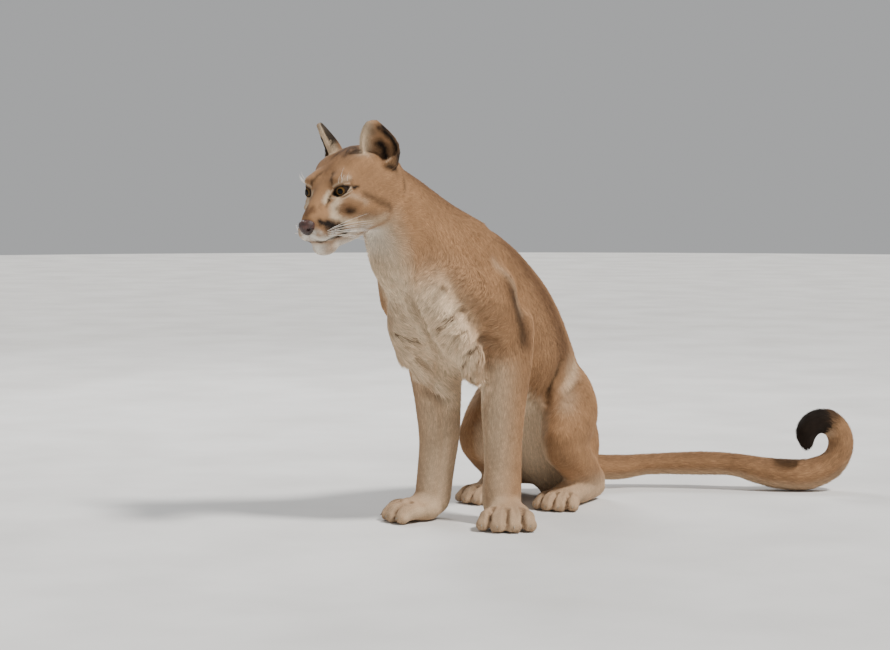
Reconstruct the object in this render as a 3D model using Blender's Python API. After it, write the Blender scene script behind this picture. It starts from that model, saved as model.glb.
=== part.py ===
"""A sitting cougar, life size, in named solids that meet face to face.

The animal is drawn in metres at DRAWN_HEIGHT with -Y ahead of its hips, +X to its own left and +Z up.
The chest, neck and head turn to its right. At the end all is scaled to SITTING_HEIGHT.
"""

import math

import bmesh
import bpy
import numpy as np
from mathutils import Matrix, Vector
from mathutils.bvhtree import BVHTree

# Driving sizes
SITTING_HEIGHT = 0.84
DRAWN_HEIGHT = 0.88
GAP = 0.0003
VOXEL = 0.0034
RELAX_ROUNDS = 60
SIDES = (("left", 1.0), ("right", -1.0))

# Head
EYE_MIDDLE = (-0.166, -0.348, 0.720)
HEAD_TURN = 9.0
HEAD_DROP = 18.0
HEAD_TILT = 1.5
EYE_CENTRE = (-0.0125, 0.0405, 0.0)
EYE_RADIUS = 0.0180
LID_THICKNESS = 0.0026

# Colours
TAWNY = (0.44, 0.27, 0.14)
DARK = (0.05, 0.035, 0.028)
NOSE_PINK = (0.30, 0.13, 0.11)
AMBER = (0.42, 0.24, 0.06)

# Torso, from the chest to the seat: dorsal point, ventral point, half width
TORSO = [
    ((-0.012, 0.030, 0.646), (-0.048, -0.206, 0.462), 0.096),
    ((-0.005, 0.088, 0.622), (-0.020, -0.140, 0.385), 0.102),
    ((0.0, 0.145, 0.592), (-0.010, -0.040, 0.330), 0.106),
    ((0.0, 0.245, 0.524), (0.0, 0.078, 0.285), 0.108),
    ((0.0, 0.335, 0.433), (0.0, 0.180, 0.228), 0.102),
    ((0.0, 0.402, 0.333), (0.0, 0.245, 0.142), 0.100),
    ((0.0, 0.438, 0.225), (0.0, 0.305, 0.055), 0.092),
    ((0.0, 0.450, 0.135), (0.0, 0.375, 0.006), 0.066),
]

# Neck, from the chest to the skull: nape, throat, half width
NECK = [
    ((-0.008, 0.035, 0.644), (-0.060, -0.218, 0.490), 0.094),
    ((-0.050, -0.034, 0.688), (-0.102, -0.235, 0.547), 0.089),
    ((-0.100, -0.117, 0.753), (-0.124, -0.228, 0.602), 0.084),
    ((-0.146, -0.186, 0.803), (-0.137, -0.218, 0.642), 0.080),
]

# Muscles that run from the side of the neck to each shoulder: centre, radius
NECK_MUSCLE = {
    "left": [
        ((-0.066, -0.160, 0.640), 0.036),
        ((-0.004, -0.142, 0.572), 0.046),
        ((0.052, -0.104, 0.505), 0.046),
    ],
    "right": [
        ((-0.128, -0.160, 0.640), 0.036),
        ((-0.110, -0.150, 0.565), 0.048),
        ((-0.108, -0.126, 0.490), 0.053),
    ],
}

# Folds of loose fur down each side of the chest: centre, radius
CHEST_FOLD = {
    "left": [
        ((0.002, -0.176, 0.485), 0.034),
        ((0.020, -0.146, 0.430), 0.038),
        ((0.036, -0.100, 0.375), 0.035),
        ((0.042, -0.076, 0.330), 0.022),
    ],
    "right": [
        ((-0.078, -0.180, 0.485), 0.034),
        ((-0.088, -0.152, 0.432), 0.040),
        ((-0.089, -0.106, 0.378), 0.038),
        ((-0.072, -0.080, 0.332), 0.024),
    ],
}

# Legs: centre, half width, half depth
UPPER_ARM = {
    "left": [
        ((0.044, 0.020, 0.545), 0.034, 0.050),
        ((0.062, -0.018, 0.522), 0.042, 0.060),
        ((0.074, -0.050, 0.480), 0.045, 0.060),
        ((0.079, -0.026, 0.425), 0.045, 0.060),
        ((0.080, 0.002, 0.380), 0.048, 0.060),
    ],
    "right": [
        ((-0.064, 0.040, 0.535), 0.038, 0.055),
        ((-0.086, -0.030, 0.522), 0.046, 0.072),
        ((-0.098, -0.082, 0.470), 0.050, 0.064),
        ((-0.100, -0.045, 0.420), 0.051, 0.066),
        ((-0.097, -0.029, 0.378), 0.055, 0.065),
    ],
}
FOREARM = {
    "left": [
        ((0.080, 0.012, 0.430), 0.052, 0.068),
        ((0.078, 0.008, 0.370), 0.053, 0.068),
        ((0.074, 0.002, 0.310), 0.052, 0.060),
        ((0.071, -0.002, 0.250), 0.049, 0.053),
        ((0.0705, -0.003, 0.180), 0.0435, 0.046),
        ((0.071, -0.004, 0.120), 0.0415, 0.043),
        ((0.071, -0.008, 0.080), 0.044, 0.044),
        ((0.073, -0.014, 0.046), 0.044, 0.042),
    ],
    "right": [
        ((-0.094, -0.030, 0.430), 0.056, 0.068),
        ((-0.090, -0.028, 0.370), 0.058, 0.068),
        ((-0.084, -0.024, 0.310), 0.056, 0.060),
        ((-0.080, -0.020, 0.250), 0.052, 0.053),
        ((-0.078, -0.020, 0.180), 0.046, 0.047),
        ((-0.084, -0.022, 0.120), 0.042, 0.043),
        ((-0.088, -0.024, 0.080), 0.041, 0.042),
        ((-0.090, -0.026, 0.046), 0.040, 0.040),
    ],
}
THIGH = [
    ((0.050, 0.352, 0.255), 0.064, 0.092),
    ((0.080, 0.312, 0.222), 0.066, 0.094),
    ((0.098, 0.256, 0.185), 0.056, 0.078),
    ((0.105, 0.212, 0.156), 0.046, 0.056),
]
SHANK = [
    ((0.105, 0.214, 0.152), 0.045, 0.054),
    ((0.109, 0.285, 0.104), 0.043, 0.050),
    ((0.110, 0.345, 0.068), 0.033, 0.038),
    ((0.108, 0.392, 0.044), 0.026, 0.034),
]
METATARSUS = [
    ((0.108, 0.395, 0.034), 0.026, 0.030),
    ((0.104, 0.330, 0.028), 0.030, 0.028),
    ((0.099, 0.270, 0.030), 0.038, 0.030),
]
THIGH_AHEAD = (0.0, -0.6, 0.8)
SHANK_AHEAD = (0.0, -0.5, -0.87)

# Rounded masses on the trunk: centre, radii
MASSES = [
    ((0.074, 0.002, 0.452), (0.040, 0.044, 0.074)),
    ((-0.098, -0.004, 0.436), (0.044, 0.056, 0.076)),
    ((0.061, 0.372, 0.130), (0.064, 0.066, 0.105)),
    ((-0.061, 0.372, 0.130), (0.064, 0.066, 0.105)),
    ((0.103, 0.206, 0.150), (0.036, 0.042, 0.050)),
    ((-0.103, 0.206, 0.150), (0.036, 0.042, 0.050)),
]

# Paws: place of the middle of the pad, turn out from straight ahead, size
PAWS = {
    "forepaw_left": {"place": (0.110, -0.056, 0.0), "turn": 24.0, "size": 1.0},
    "forepaw_right": {"place": (-0.110, -0.062, 0.0), "turn": -42.0, "size": 0.94},
    "hindpaw_left": {"place": (0.097, 0.240, 0.0), "turn": 6.0, "size": 0.86},
    "hindpaw_right": {"place": (-0.097, 0.240, 0.0), "turn": -6.0, "size": 0.86},
}
# Pads of a paw of size 1: centre, radii
PAW_PADS = [
    ((-0.010, 0.0, 0.027), (0.050, 0.050, 0.031)),
    ((0.020, 0.0, 0.025), (0.038, 0.056, 0.024)),
]
# Toes of a paw of size 1: side step, reach of the knuckle, half width
TOES = [
    (-0.0450, 0.030, 0.0165),
    (-0.0155, 0.046, 0.0180),
    (0.0155, 0.046, 0.0180),
    (0.0450, 0.031, 0.0165),
]

KNUCKLE_HEIGHT = 0.0255
KNUCKLE_RADII = (0.030, 0.0195)
TOE_REACH = 0.021
TOE_SPREAD = 0.16
TOE_TIP_RADII = (0.0175, 0.94, 0.0160)
TOE_SINK = 0.0015

# Tail, from the rump round the curl to the tip: centre, radius
TAIL = [
    ((0.000, 0.425, 0.085), 0.036),
    ((0.014, 0.495, 0.060), 0.034),
    ((0.084, 0.582, 0.050), 0.0330),
    ((0.146, 0.621, 0.057), 0.0285),
    ((0.258, 0.669, 0.061), 0.0315),
    ((0.335, 0.693, 0.060), 0.0305),
    ((0.391, 0.712, 0.048), 0.0355),
    ((0.443, 0.728, 0.040), 0.0395),
    ((0.501, 0.753, 0.040), 0.0400),
    ((0.548, 0.778, 0.062), 0.0360),
    ((0.569, 0.789, 0.100), 0.0335),
    ((0.566, 0.788, 0.140), 0.0325),
    ((0.546, 0.766, 0.168), 0.0325),
    ((0.523, 0.737, 0.168), 0.0315),
    ((0.509, 0.717, 0.146), 0.0290),
    ((0.511, 0.713, 0.122), 0.0210),
]

# Creases between the muscles: points on the body, radius, depth
CREASES = {
    "chest": (
        [(-0.046, -0.228, 0.515), (-0.034, -0.205, 0.462), (-0.030, -0.165, 0.412), (-0.024, -0.110, 0.362)],
        0.020,
        0.010,
    ),
    "behind_left_arm": (
        [(0.066, -0.012, 0.600), (0.092, 0.010, 0.545), (0.106, 0.024, 0.490), (0.108, 0.040, 0.375)],
        0.020,
        0.007,
    ),
    "behind_right_arm": (
        [(-0.086, -0.020, 0.590), (-0.112, 0.010, 0.545), (-0.126, 0.026, 0.490), (-0.124, 0.040, 0.375)],
        0.020,
        0.007,
    ),
    "behind_left_cheek": (
        [(-0.062, -0.200, 0.745), (-0.052, -0.218, 0.714), (-0.052, -0.232, 0.672)],
        0.014,
        0.005,
    ),
    "behind_right_cheek": (
        [(-0.230, -0.215, 0.745), (-0.238, -0.236, 0.714), (-0.232, -0.250, 0.672)],
        0.014,
        0.005,
    ),
}
# Creases of the left hind leg, which the right one has too
HIND_CREASES = {
    "flank": ([(0.104, 0.236, 0.345), (0.086, 0.200, 0.290), (0.066, 0.205, 0.240)], 0.018, 0.007),
    "thigh": ([(0.128, 0.285, 0.285), (0.124, 0.232, 0.262), (0.116, 0.205, 0.240)], 0.014, 0.004),
}

# Nodes cut from the body as boxes: low corner, high corner
LEG_BOXES = {
    "forepaw_left": ((0.000, -0.200, -0.1), (0.220, 0.080, 0.060)),
    "forepaw_right": ((-0.260, -0.200, -0.1), (-0.020, 0.080, 0.058)),
    "hindpaw_left": ((0.045, 0.120, -0.1), (0.200, 0.292, 0.074)),
    "hindpaw_right": ((-0.200, 0.120, -0.1), (-0.045, 0.292, 0.074)),
    "foreleg_left": ((0.012, -0.110, -0.1), (0.250, 0.095, 0.335)),
    "foreleg_right": ((-0.250, -0.130, -0.1), (-0.018, 0.075, 0.330)),
    "hindleg_left": ((0.060, 0.120, -0.1), (0.250, 0.520, 0.280)),
    "hindleg_right": ((-0.250, 0.120, -0.1), (-0.060, 0.520, 0.280)),
}
TAIL_TIP_BOX = ((0.440, 0.640, 0.0995), (0.5335, 0.850, 0.25))
# Flat cuts across the head and neck: upper point, lower point; the line that the cuts share
SKULL_CUT = ((-0.135, -0.172, 0.800), (-0.136, -0.250, 0.612))
CHEST_CUT = ((-0.030, 0.000, 0.670), (-0.084, -0.224, 0.528))
NECK_ACROSS = (0.86, -0.51, 0.0)
# Flat cuts across the tail: point, way along the tail, a line across
RUMP_CUT = ((0.012, 0.480, 0.06), (0.35, 0.93, -0.1), (1, 0, 0))
TAIL_MIDDLE_CUT = ((0.175, 0.634, 0.05), (0.86, 0.5, 0), (0, 0, 1))
TAIL_CURL_CUT = ((0.405, 0.716, 0.05), (0.92, 0.38, 0), (0, 0, 1))
FAR = 0.9
HALF_SPACE = ((-FAR, -FAR, 0.0), (FAR, FAR, FAR))
BELOW_FLOOR = ((-2.0, -2.0, -1.0), (2.0, 2.0, 0.0))
# Triangles on each finer stretch of the body, then on all the rest
HEAD_TRIANGLES = 2300
PAW_TRIANGLES = {"forepaw_left": 520, "forepaw_right": 520, "hindpaw_left": 400, "hindpaw_right": 400}
PLAIN_TRIANGLES = 4200

# Head, in its own frame: x ahead, y to the left, z up, from the middle of the eyes.
# Along the skull: x, top, bottom, half width
SKULL = [
    (0.052, -0.022, -0.098, 0.026),
    (0.034, -0.008, -0.111, 0.035),
    (0.013, 0.012, -0.117, 0.047),
    (-0.010, 0.031, -0.119, 0.060),
    (-0.035, 0.046, -0.120, 0.071),
    (-0.065, 0.058, -0.118, 0.080),
    (-0.095, 0.064, -0.113, 0.085),
    (-0.125, 0.063, -0.104, 0.085),
    (-0.155, 0.053, -0.094, 0.080),
]
# The bridge of the nose, from the brow to the leather: middle, half height, half width
BRIDGE = [
    ((-0.020, 0.0, 0.016), 0.020, 0.021),
    ((0.010, 0.0, -0.002), 0.019, 0.0205),
    ((0.040, 0.0, -0.020), 0.018, 0.0190),
    ((0.070, 0.0, -0.0395), 0.016, 0.0185),
]
# Single masses on the middle line of the head, then those of the left side: centre, radii
HEAD_MIDDLE = [
    ((0.036, 0.0, -0.105), (0.028, 0.029, 0.0195)),
    ((0.053, 0.0, -0.072), (0.026, 0.022, 0.020)),
]
HEAD_SIDE = [
    ((0.050, 0.0215, -0.0650), (0.0290, 0.0200, 0.0235)),
    ((0.026, 0.0290, -0.0640), (0.0300, 0.0185, 0.0250)),
    ((-0.0185, 0.0370, 0.0225), (0.0250, 0.0270, 0.0130)),
    ((-0.002, 0.0410, -0.0280), (0.0280, 0.0180, 0.0150)),
    ((-0.036, 0.0540, -0.0280), (0.0420, 0.0210, 0.0240)),
    ((-0.080, 0.0570, -0.0520), (0.0580, 0.0340, 0.0490)),
    ((-0.092, 0.0330, 0.0240), (0.0620, 0.0400, 0.0330)),
]
# Hollows pressed in the dense head: centre, radius, depth, the left one of each pair
HEAD_HOLLOWS = [
    ((0.026, 0.0270, -0.0120), 0.0170, 0.0040),
    ((-0.020, 0.0700, 0.0100), 0.0260, 0.0020),
    ((0.006, 0.0560, -0.0620), 0.0200, 0.0030),
]
NOSE_RADII = (0.0165, 0.0250, 0.0165)
NOSE_CENTRE = (0.0750, 0.0, -0.0500)
NOSE_FOOT = 0.45
NOSTRIL_CENTRE = (0.0885, 0.0135, -0.0520)
NOSTRIL_RADII = (0.0085, 0.0056, 0.0036)
MOUTH_LINE = [
    (0.080, 0.000, -0.084),
    (0.074, 0.012, -0.088),
    (0.060, 0.026, -0.090),
    (0.040, 0.038, -0.088),
    (0.020, 0.046, -0.083),
    (0.010, 0.050, -0.079),
]
LIP_SPLIT = [(0.088, 0.0, -0.060), (0.086, 0.0, -0.070), (0.080, 0.0, -0.084)]
MOUTH_GROOVE = 0.0017
SPLIT_GROOVE = 0.0014

# Eyes: the opening between the lids
EYE_TURN_OUT = 18.0
EYE_RISE_OF_GAZE = 8.0
EYE_HALF_WIDTH = 0.0158
EYE_RISE = 0.0078
EYE_FALL = 0.0072
EYE_SLANT = 17.0
LID_ROUNDNESS = 0.85
LID_POINTS = 24
LID_CUT_FROM = 0.002
LID_CUT_TO = 0.045
LID_FLARE = 1.25

# Ears: base and tip of the middle line, in the head's frame; the way the width runs
EAR_BASE = (-0.122, 0.062, 0.028)
EAR_TIP = (-0.109, 0.0725, 0.1215)
EAR_WIDTH_WAY = (0.70, -0.71, 0.0)
# Up the ear: part of its height, step towards its outer edge, half width, half depth
EAR_SECTIONS = [
    (-0.14, 0.010, 0.028, 0.020),
    (0.03, 0.008, 0.037, 0.025),
    (0.20, 0.005, 0.0410, 0.025),
    (0.40, 0.001, 0.0390, 0.022),
    (0.60, -0.001, 0.0335, 0.017),
    (0.78, -0.001, 0.0245, 0.012),
    (0.90, 0.000, 0.0165, 0.008),
]
EAR_WALL = 0.0050
EAR_CUP_SHIFT = 0.0150
EAR_CUP_FLOOR = 0.12
EAR_VOXEL = 0.0016
EAR_TRIANGLES = 340


def clear_scene():
    for item in list(bpy.data.objects):
        bpy.data.objects.remove(item, do_unlink=True)


def smooth_rows(rows, steps):
    """Rows of numbers along a Catmull-Rom curve, with steps between each pair."""
    rows = np.array(rows, float)
    padded = np.vstack([2 * rows[0] - rows[1], rows, 2 * rows[-1] - rows[-2]])
    out = []
    for i in range(len(rows) - 1):
        p0, p1, p2, p3 = padded[i : i + 4]
        for k in range(steps):
            t = k / steps
            out.append(
                0.5
                * (
                    2 * p1
                    + (p2 - p0) * t
                    + (2 * p0 - 5 * p1 + 4 * p2 - p3) * t**2
                    + (3 * p1 - p0 - 3 * p2 + p3) * t**3
                )
            )
    out.append(rows[-1])
    return np.array(out)


def unit(vectors):
    vectors = np.asarray(vectors, float)
    return vectors / np.maximum(np.linalg.norm(vectors, axis=-1, keepdims=True), 1e-12)


def loft(sections, steps=6, ring=28, cap=1.0):
    """A closed tube through sections: centre, rise from the centre to the top, half width."""
    rows = smooth_rows([list(c) + list(r) + [w] for c, r, w in sections], steps)
    centres, rises, widths = rows[:, :3], rows[:, 3:6], rows[:, 6]
    along = unit(np.gradient(centres, axis=0))
    across = unit(np.cross(along, rises))
    angles = np.arange(ring) * 2 * math.pi / ring
    rings = [
        c + np.cos(angles)[:, None] * s * w + np.sin(angles)[:, None] * r
        for c, r, w, s in zip(centres, rises, widths, across)
    ]

    def end(index, sign):
        reach = cap * min(widths[index], np.linalg.norm(rises[index]))
        middle = centres[index]
        for turn in (30, 55, 75):
            swell = math.cos(math.radians(turn))
            shift = math.sin(math.radians(turn)) * reach
            yield middle + (rings_core[index] - middle) * swell + along[index] * sign * shift

    rings_core = list(rings)
    rings = list(end(0, -1))[::-1] + rings_core + list(end(-1, 1))
    poles = [
        centres[0] - along[0] * cap * min(widths[0], np.linalg.norm(rises[0])),
        centres[-1] + along[-1] * cap * min(widths[-1], np.linalg.norm(rises[-1])),
    ]
    points = np.vstack(rings + poles)
    faces = []
    for k in range(len(rings) - 1):
        for i in range(ring):
            j = (i + 1) % ring
            faces.append((k * ring + j, k * ring + i, (k + 1) * ring + i, (k + 1) * ring + j))
    first, last = len(points) - 2, len(points) - 1
    base = (len(rings) - 1) * ring
    for i in range(ring):
        j = (i + 1) % ring
        faces.append((first, i, j))
        faces.append((last, base + j, base + i))
    return points, faces


def spread(dorsal, ventral, half_width):
    """A loft section that runs from a dorsal point to a ventral one."""
    dorsal, ventral = np.array(dorsal), np.array(ventral)
    return (dorsal + ventral) / 2, (dorsal - ventral) / 2, half_width


def limb(rows, forward, **options):
    """A loft of centres, half widths and half depths, its depth laid along forward."""
    centres = np.array([r[0] for r in rows], float)
    along = unit(np.gradient(centres, axis=0))
    forward = np.array(forward, float)
    ahead = unit(forward - along * (along @ forward)[:, None])
    return loft([(r[0], a * r[2], r[1]) for r, a in zip(rows, ahead)], **options)


def tube(rows, **options):
    """A round loft through centres and radii, its frame carried along without a twist."""
    centres = np.array([centre for centre, _ in rows], float)
    along = unit(np.gradient(centres, axis=0))
    rise = np.array((0.0, 0.0, 1.0))
    sections = []
    for (centre, radius), way in zip(rows, along):
        rise = unit(rise - way * (way @ rise))
        sections.append((centre, rise * radius, radius))
    return loft(sections, **options)


def blob(centre, radii, place=None, rings=14, ring=20):
    """An ellipsoid at a centre, its axes turned by place when that is given."""
    points = [(0.0, 0.0, 1.0)]
    for k in range(1, rings):
        polar = math.pi * k / rings
        for i in range(ring):
            turn = 2 * math.pi * i / ring
            points.append((math.sin(polar) * math.cos(turn), math.sin(polar) * math.sin(turn), math.cos(polar)))
    points.append((0.0, 0.0, -1.0))
    points = np.array(points) * np.array(radii) + np.array(centre)
    faces = []
    for i in range(ring):
        j = (i + 1) % ring
        faces.append((0, 1 + i, 1 + j))
        for k in range(rings - 2):
            a, b = 1 + k * ring, 1 + (k + 1) * ring
            faces.append((a + i, b + i, b + j, a + j))
        faces.append((len(points) - 1, 1 + (rings - 2) * ring + j, 1 + (rings - 2) * ring + i))
    return moved((points, faces), place) if place is not None else (points, faces)


def moved(piece, place):
    points, faces = piece
    turn = np.array(place.to_3x3())
    return points @ turn.T + np.array(place.translation), faces


def flipped(piece, axis):
    """The mirror image of a piece across the plane where axis is 0."""
    points, faces = piece
    points = points.copy()
    points[:, axis] *= -1.0
    return points, [tuple(reversed(face)) for face in faces]


def build(name, pieces):
    """One object from pieces, each a pair of points and faces."""
    points, faces, count = [], [], 0
    for p, f in pieces:
        points.append(p)
        faces.extend(tuple(i + count for i in face) for face in f)
        count += len(p)
    mesh = bpy.data.meshes.new(name)
    mesh.from_pydata(np.vstack(points).tolist(), [], faces)
    mesh.update()
    item = bpy.data.objects.new(name, mesh)
    bpy.context.collection.objects.link(item)
    return item


def applied(item):
    """Gives the object the mesh that its modifiers make."""
    graph = bpy.context.evaluated_depsgraph_get()
    mesh = bpy.data.meshes.new_from_object(item.evaluated_get(graph))
    item.modifiers.clear()
    old = item.data
    item.data = mesh
    mesh.name = item.name
    bpy.data.meshes.remove(old)
    return item


def fused(item, voxel):
    """Joins the overlapping pieces of an object into one closed skin."""
    remesh = item.modifiers.new("fuse", "REMESH")
    remesh.mode = "VOXEL"
    remesh.voxel_size = voxel
    return applied(item)


def cut(item, cutter, operation="DIFFERENCE"):
    """Booleans the object with a cutter, which is then removed."""
    cutter.hide_render = True
    cutter.display_type = "WIRE"
    boolean = item.modifiers.new("cut", "BOOLEAN")
    boolean.object = cutter
    boolean.operation = operation
    boolean.solver = "EXACT"
    applied(item)
    bpy.data.objects.remove(cutter, do_unlink=True)
    return item


def triangle_count(mesh, chosen=None):
    faces = [p for p in mesh.polygons if chosen is None or all(chosen[i] for i in p.vertices)]
    return sum(len(p.vertices) - 2 for p in faces)


def thinned(item, triangles, chosen=None):
    """Collapses edges down to a count of triangles, on the chosen points alone when given."""
    everything = triangle_count(item.data)
    collapse = item.modifiers.new("thin", "DECIMATE")
    collapse.use_collapse_triangulate = True
    collapse.ratio = min(1.0, triangles / everything)
    if chosen is not None:
        wanted = everything - triangle_count(item.data, chosen) + triangles
        collapse.ratio = min(1.0, wanted / everything)
        group = item.vertex_groups.new(name="chosen")
        group.add(np.flatnonzero(chosen).tolist(), 1.0, "REPLACE")
        collapse.vertex_group = group.name
    applied(item)
    item.vertex_groups.clear()
    return item


def within(points, low, high, place):
    """Which points lie inside a box of a frame."""
    turn = np.array(place.inverted())
    local = points @ turn[:3, :3].T + turn[:3, 3]
    return np.all((local > np.array(low)) & (local < np.array(high)), axis=1)


def coordinates(mesh):
    points = np.empty(len(mesh.vertices) * 3)
    mesh.vertices.foreach_get("co", points)
    return points.reshape(-1, 3)


def set_coordinates(mesh, points):
    mesh.vertices.foreach_set("co", points.ravel())
    mesh.update()


def normals(mesh):
    out = np.empty(len(mesh.vertices) * 3)
    mesh.vertex_normals.foreach_get("vector", out)
    return out.reshape(-1, 3)


def relaxed(item, rounds, fill, wear):
    """Moves each point towards its neighbours: by fill out of a hollow, by wear off an edge."""
    mesh = item.data
    points = coordinates(mesh)
    edges = np.empty(len(mesh.edges) * 2, np.int64)
    mesh.edges.foreach_get("vertices", edges)
    a, b = edges.reshape(-1, 2).T
    count = np.bincount(np.concatenate([a, b]), minlength=len(points))
    for step in range(rounds):
        if step % 5 == 0:
            set_coordinates(mesh, points)
            facing = normals(mesh)
        total = np.stack(
            [
                np.bincount(a, points[b, k], len(points)) + np.bincount(b, points[a, k], len(points))
                for k in range(3)
            ],
            1,
        )
        pull = total / count[:, None] - points
        hollow = np.einsum("ij,ij->i", pull, facing) > 0
        points = points + pull * np.where(hollow, fill, wear)[:, None]
    set_coordinates(mesh, points)
    return item


def distance_to_path(points, path):
    """The least distance of each point from a line of points, and how far along it lies."""
    path = np.array(path, float)
    best = np.full(len(points), np.inf)
    where = np.zeros(len(points))
    for i, (p, q) in enumerate(zip(path[:-1], path[1:])):
        d = q - p
        t = np.clip((points - p) @ d / (d @ d), 0, 1)
        reach = np.linalg.norm(points - (p + t[:, None] * d), axis=1)
        nearer = reach < best
        best = np.where(nearer, reach, best)
        where = np.where(nearer, (i + t) / (len(path) - 1), where)
    return best, where


def creased(item, path, radius, depth):
    """Presses a soft crease into the surface along a path, fading at its ends."""
    points, facing = coordinates(item.data), normals(item.data)
    near, where = distance_to_path(points, smooth_rows(path, 6))
    strength = np.exp(-((near / radius) ** 2) * 2.0)
    strength *= np.clip(np.minimum(where, 1 - where) * 5 + 0.25, 0, 1)
    set_coordinates(item.data, points - facing * (depth * strength)[:, None])


def dented(item, centre, radius, depth):
    """Presses a soft round hollow into the surface."""
    points, facing = coordinates(item.data), normals(item.data)
    near = np.linalg.norm(points - np.array(centre), axis=1)
    strength = np.exp(-((near / radius) ** 2) * 2.0)
    set_coordinates(item.data, points - facing * (depth * strength)[:, None])


def turn_about_z(degrees):
    """A frame with x pointing ahead (-Y), turned to the animal's left by degrees, and y to its left."""
    return Matrix.Rotation(math.radians(degrees - 90), 4, "Z")


def head_frame():
    place = Matrix.Translation(EYE_MIDDLE) @ turn_about_z(-HEAD_TURN)
    place = place @ Matrix.Rotation(math.radians(HEAD_DROP), 4, "Y")
    return place @ Matrix.Rotation(math.radians(HEAD_TILT), 4, "X")


def paw_frame(paw):
    return Matrix.Translation(paw["place"]) @ turn_about_z(paw["turn"])


def skull_pieces():
    """The skull, muzzle, chin, cheeks and brows as overlapping solids."""
    sections = [spread((x, 0.0, top), (x, 0.0, bottom), wide) for x, top, bottom, wide in SKULL]
    pieces = [loft(sections, steps=6, ring=36, cap=0.7)]
    pieces.append(loft([(centre, (0.0, 0.0, rise), wide) for centre, rise, wide in BRIDGE], cap=0.6))
    pieces.extend(blob(centre, radii) for centre, radii in HEAD_MIDDLE)
    for centre, radii in HEAD_SIDE:
        left = blob(centre, radii)
        pieces.extend((left, flipped(left, 1)))
    return [moved(piece, head_frame()) for piece in pieces]


def paw_pieces(paw):
    """A pad and four toes, each a knuckle and a tip."""
    size = paw["size"]
    pieces = [blob(centre, radii) for centre, radii in PAW_PADS]
    for side, reach, half_width in TOES:
        tip = (reach + TOE_REACH, side * (1 + TOE_SPREAD), TOE_TIP_RADII[2] - TOE_SINK)
        pieces.append(blob((reach, side, KNUCKLE_HEIGHT), (KNUCKLE_RADII[0], half_width, KNUCKLE_RADII[1])))
        pieces.append(blob(tip, (TOE_TIP_RADII[0], half_width * TOE_TIP_RADII[1], TOE_TIP_RADII[2])))
    grown = [(points * size, faces) for points, faces in pieces]
    return [moved(piece, paw_frame(paw)) for piece in grown]


def body_pieces():
    pieces = [loft([spread(*row) for row in TORSO], steps=6, ring=40)]
    pieces.append(loft([spread(*row) for row in NECK], steps=6, ring=36, cap=0.5))
    pieces.extend(blob(centre, radii) for centre, radii in MASSES)
    for name, _ in SIDES:
        pieces.append(tube(NECK_MUSCLE[name]))
        pieces.append(tube(CHEST_FOLD[name]))
        pieces.append(limb(UPPER_ARM[name], (0.0, -1.0, 0.0)))
        pieces.append(limb(FOREARM[name], (0.0, -1.0, 0.0)))
    for rows, ahead in ((THIGH, THIGH_AHEAD), (SHANK, SHANK_AHEAD), (METATARSUS, (0.0, 0.0, 1.0))):
        left = limb(rows, ahead)
        pieces.extend((left, flipped(left, 0)))
    pieces.append(tube(TAIL))
    for paw in PAWS.values():
        pieces.extend(paw_pieces(paw))
    return pieces + skull_pieces()


def box(low, high, place, grow):
    """A closed box in a frame, every face moved out by grow."""
    low = np.array(low) - grow
    high = np.array(high) + grow
    corners = [
        Vector((x, y, z)) for x in (low[0], high[0]) for y in (low[1], high[1]) for z in (low[2], high[2])
    ]
    faces = [(0, 1, 3, 2), (4, 6, 7, 5), (0, 4, 5, 1), (2, 3, 7, 6), (0, 2, 6, 4), (1, 5, 7, 3)]
    return build("cutter", [(np.array([place @ c for c in corners]), faces)])


def plane_frame(point, ahead, across):
    """A frame at a point, z out of the plane and x along its line across."""
    ahead = Vector(ahead).normalized()
    across = Vector(across)
    across = (across - ahead * across.dot(ahead)).normalized()
    up = ahead.cross(across)
    return Matrix.Translation(point) @ Matrix((across, up, ahead)).transposed().to_4x4()


def section_frame(upper, lower, across, toward):
    """A frame on the plane through two points and a line across, its z facing toward."""
    upper, lower, across = Vector(upper), Vector(lower), Vector(across)
    ahead = (upper - lower).cross(across)
    if ahead.dot(Vector(toward)) < 0:
        ahead.negate()
    return plane_frame((upper + lower) / 2, ahead, across)


def copy_of(item, name):
    twin = item.copy()
    twin.data = item.data.copy()
    twin.name = name
    twin.data.name = name
    bpy.context.collection.objects.link(twin)
    return twin


def largest(item):
    """Keeps only the largest closed surface of an object."""
    work = bmesh.new()
    work.from_mesh(item.data)
    unseen = set(work.verts)
    groups = []
    while unseen:
        stack = [unseen.pop()]
        group = []
        while stack:
            vert = stack.pop()
            group.append(vert)
            for edge in vert.link_edges:
                other = edge.other_vert(vert)
                if other in unseen:
                    unseen.remove(other)
                    stack.append(other)
        groups.append(group)
    groups.sort(key=len)
    scraps = [vert for group in groups[:-1] for vert in group]
    bmesh.ops.delete(work, geom=scraps, context="VERTS")
    work.to_mesh(item.data)
    work.free()
    return item


def part_off(body, name, low, high, place=Matrix.Identity(4)):
    """Takes the stretch of the body inside a box as a node, and leaves a thin gap round it."""
    piece = cut(copy_of(body, name), box(low, high, place, -GAP / 2), "INTERSECT")
    cut(body, box(low, high, place, GAP / 2))
    return largest(piece)


def triangulated(item):
    work = bmesh.new()
    work.from_mesh(item.data)
    bmesh.ops.triangulate(work, faces=work.faces)
    bmesh.ops.dissolve_degenerate(work, dist=1e-5, edges=work.edges)
    bmesh.ops.triangulate(work, faces=work.faces)
    work.to_mesh(item.data)
    work.free()
    return item


def skull_plane():
    return section_frame(*SKULL_CUT, NECK_ACROSS, (0, -1, 0))


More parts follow.
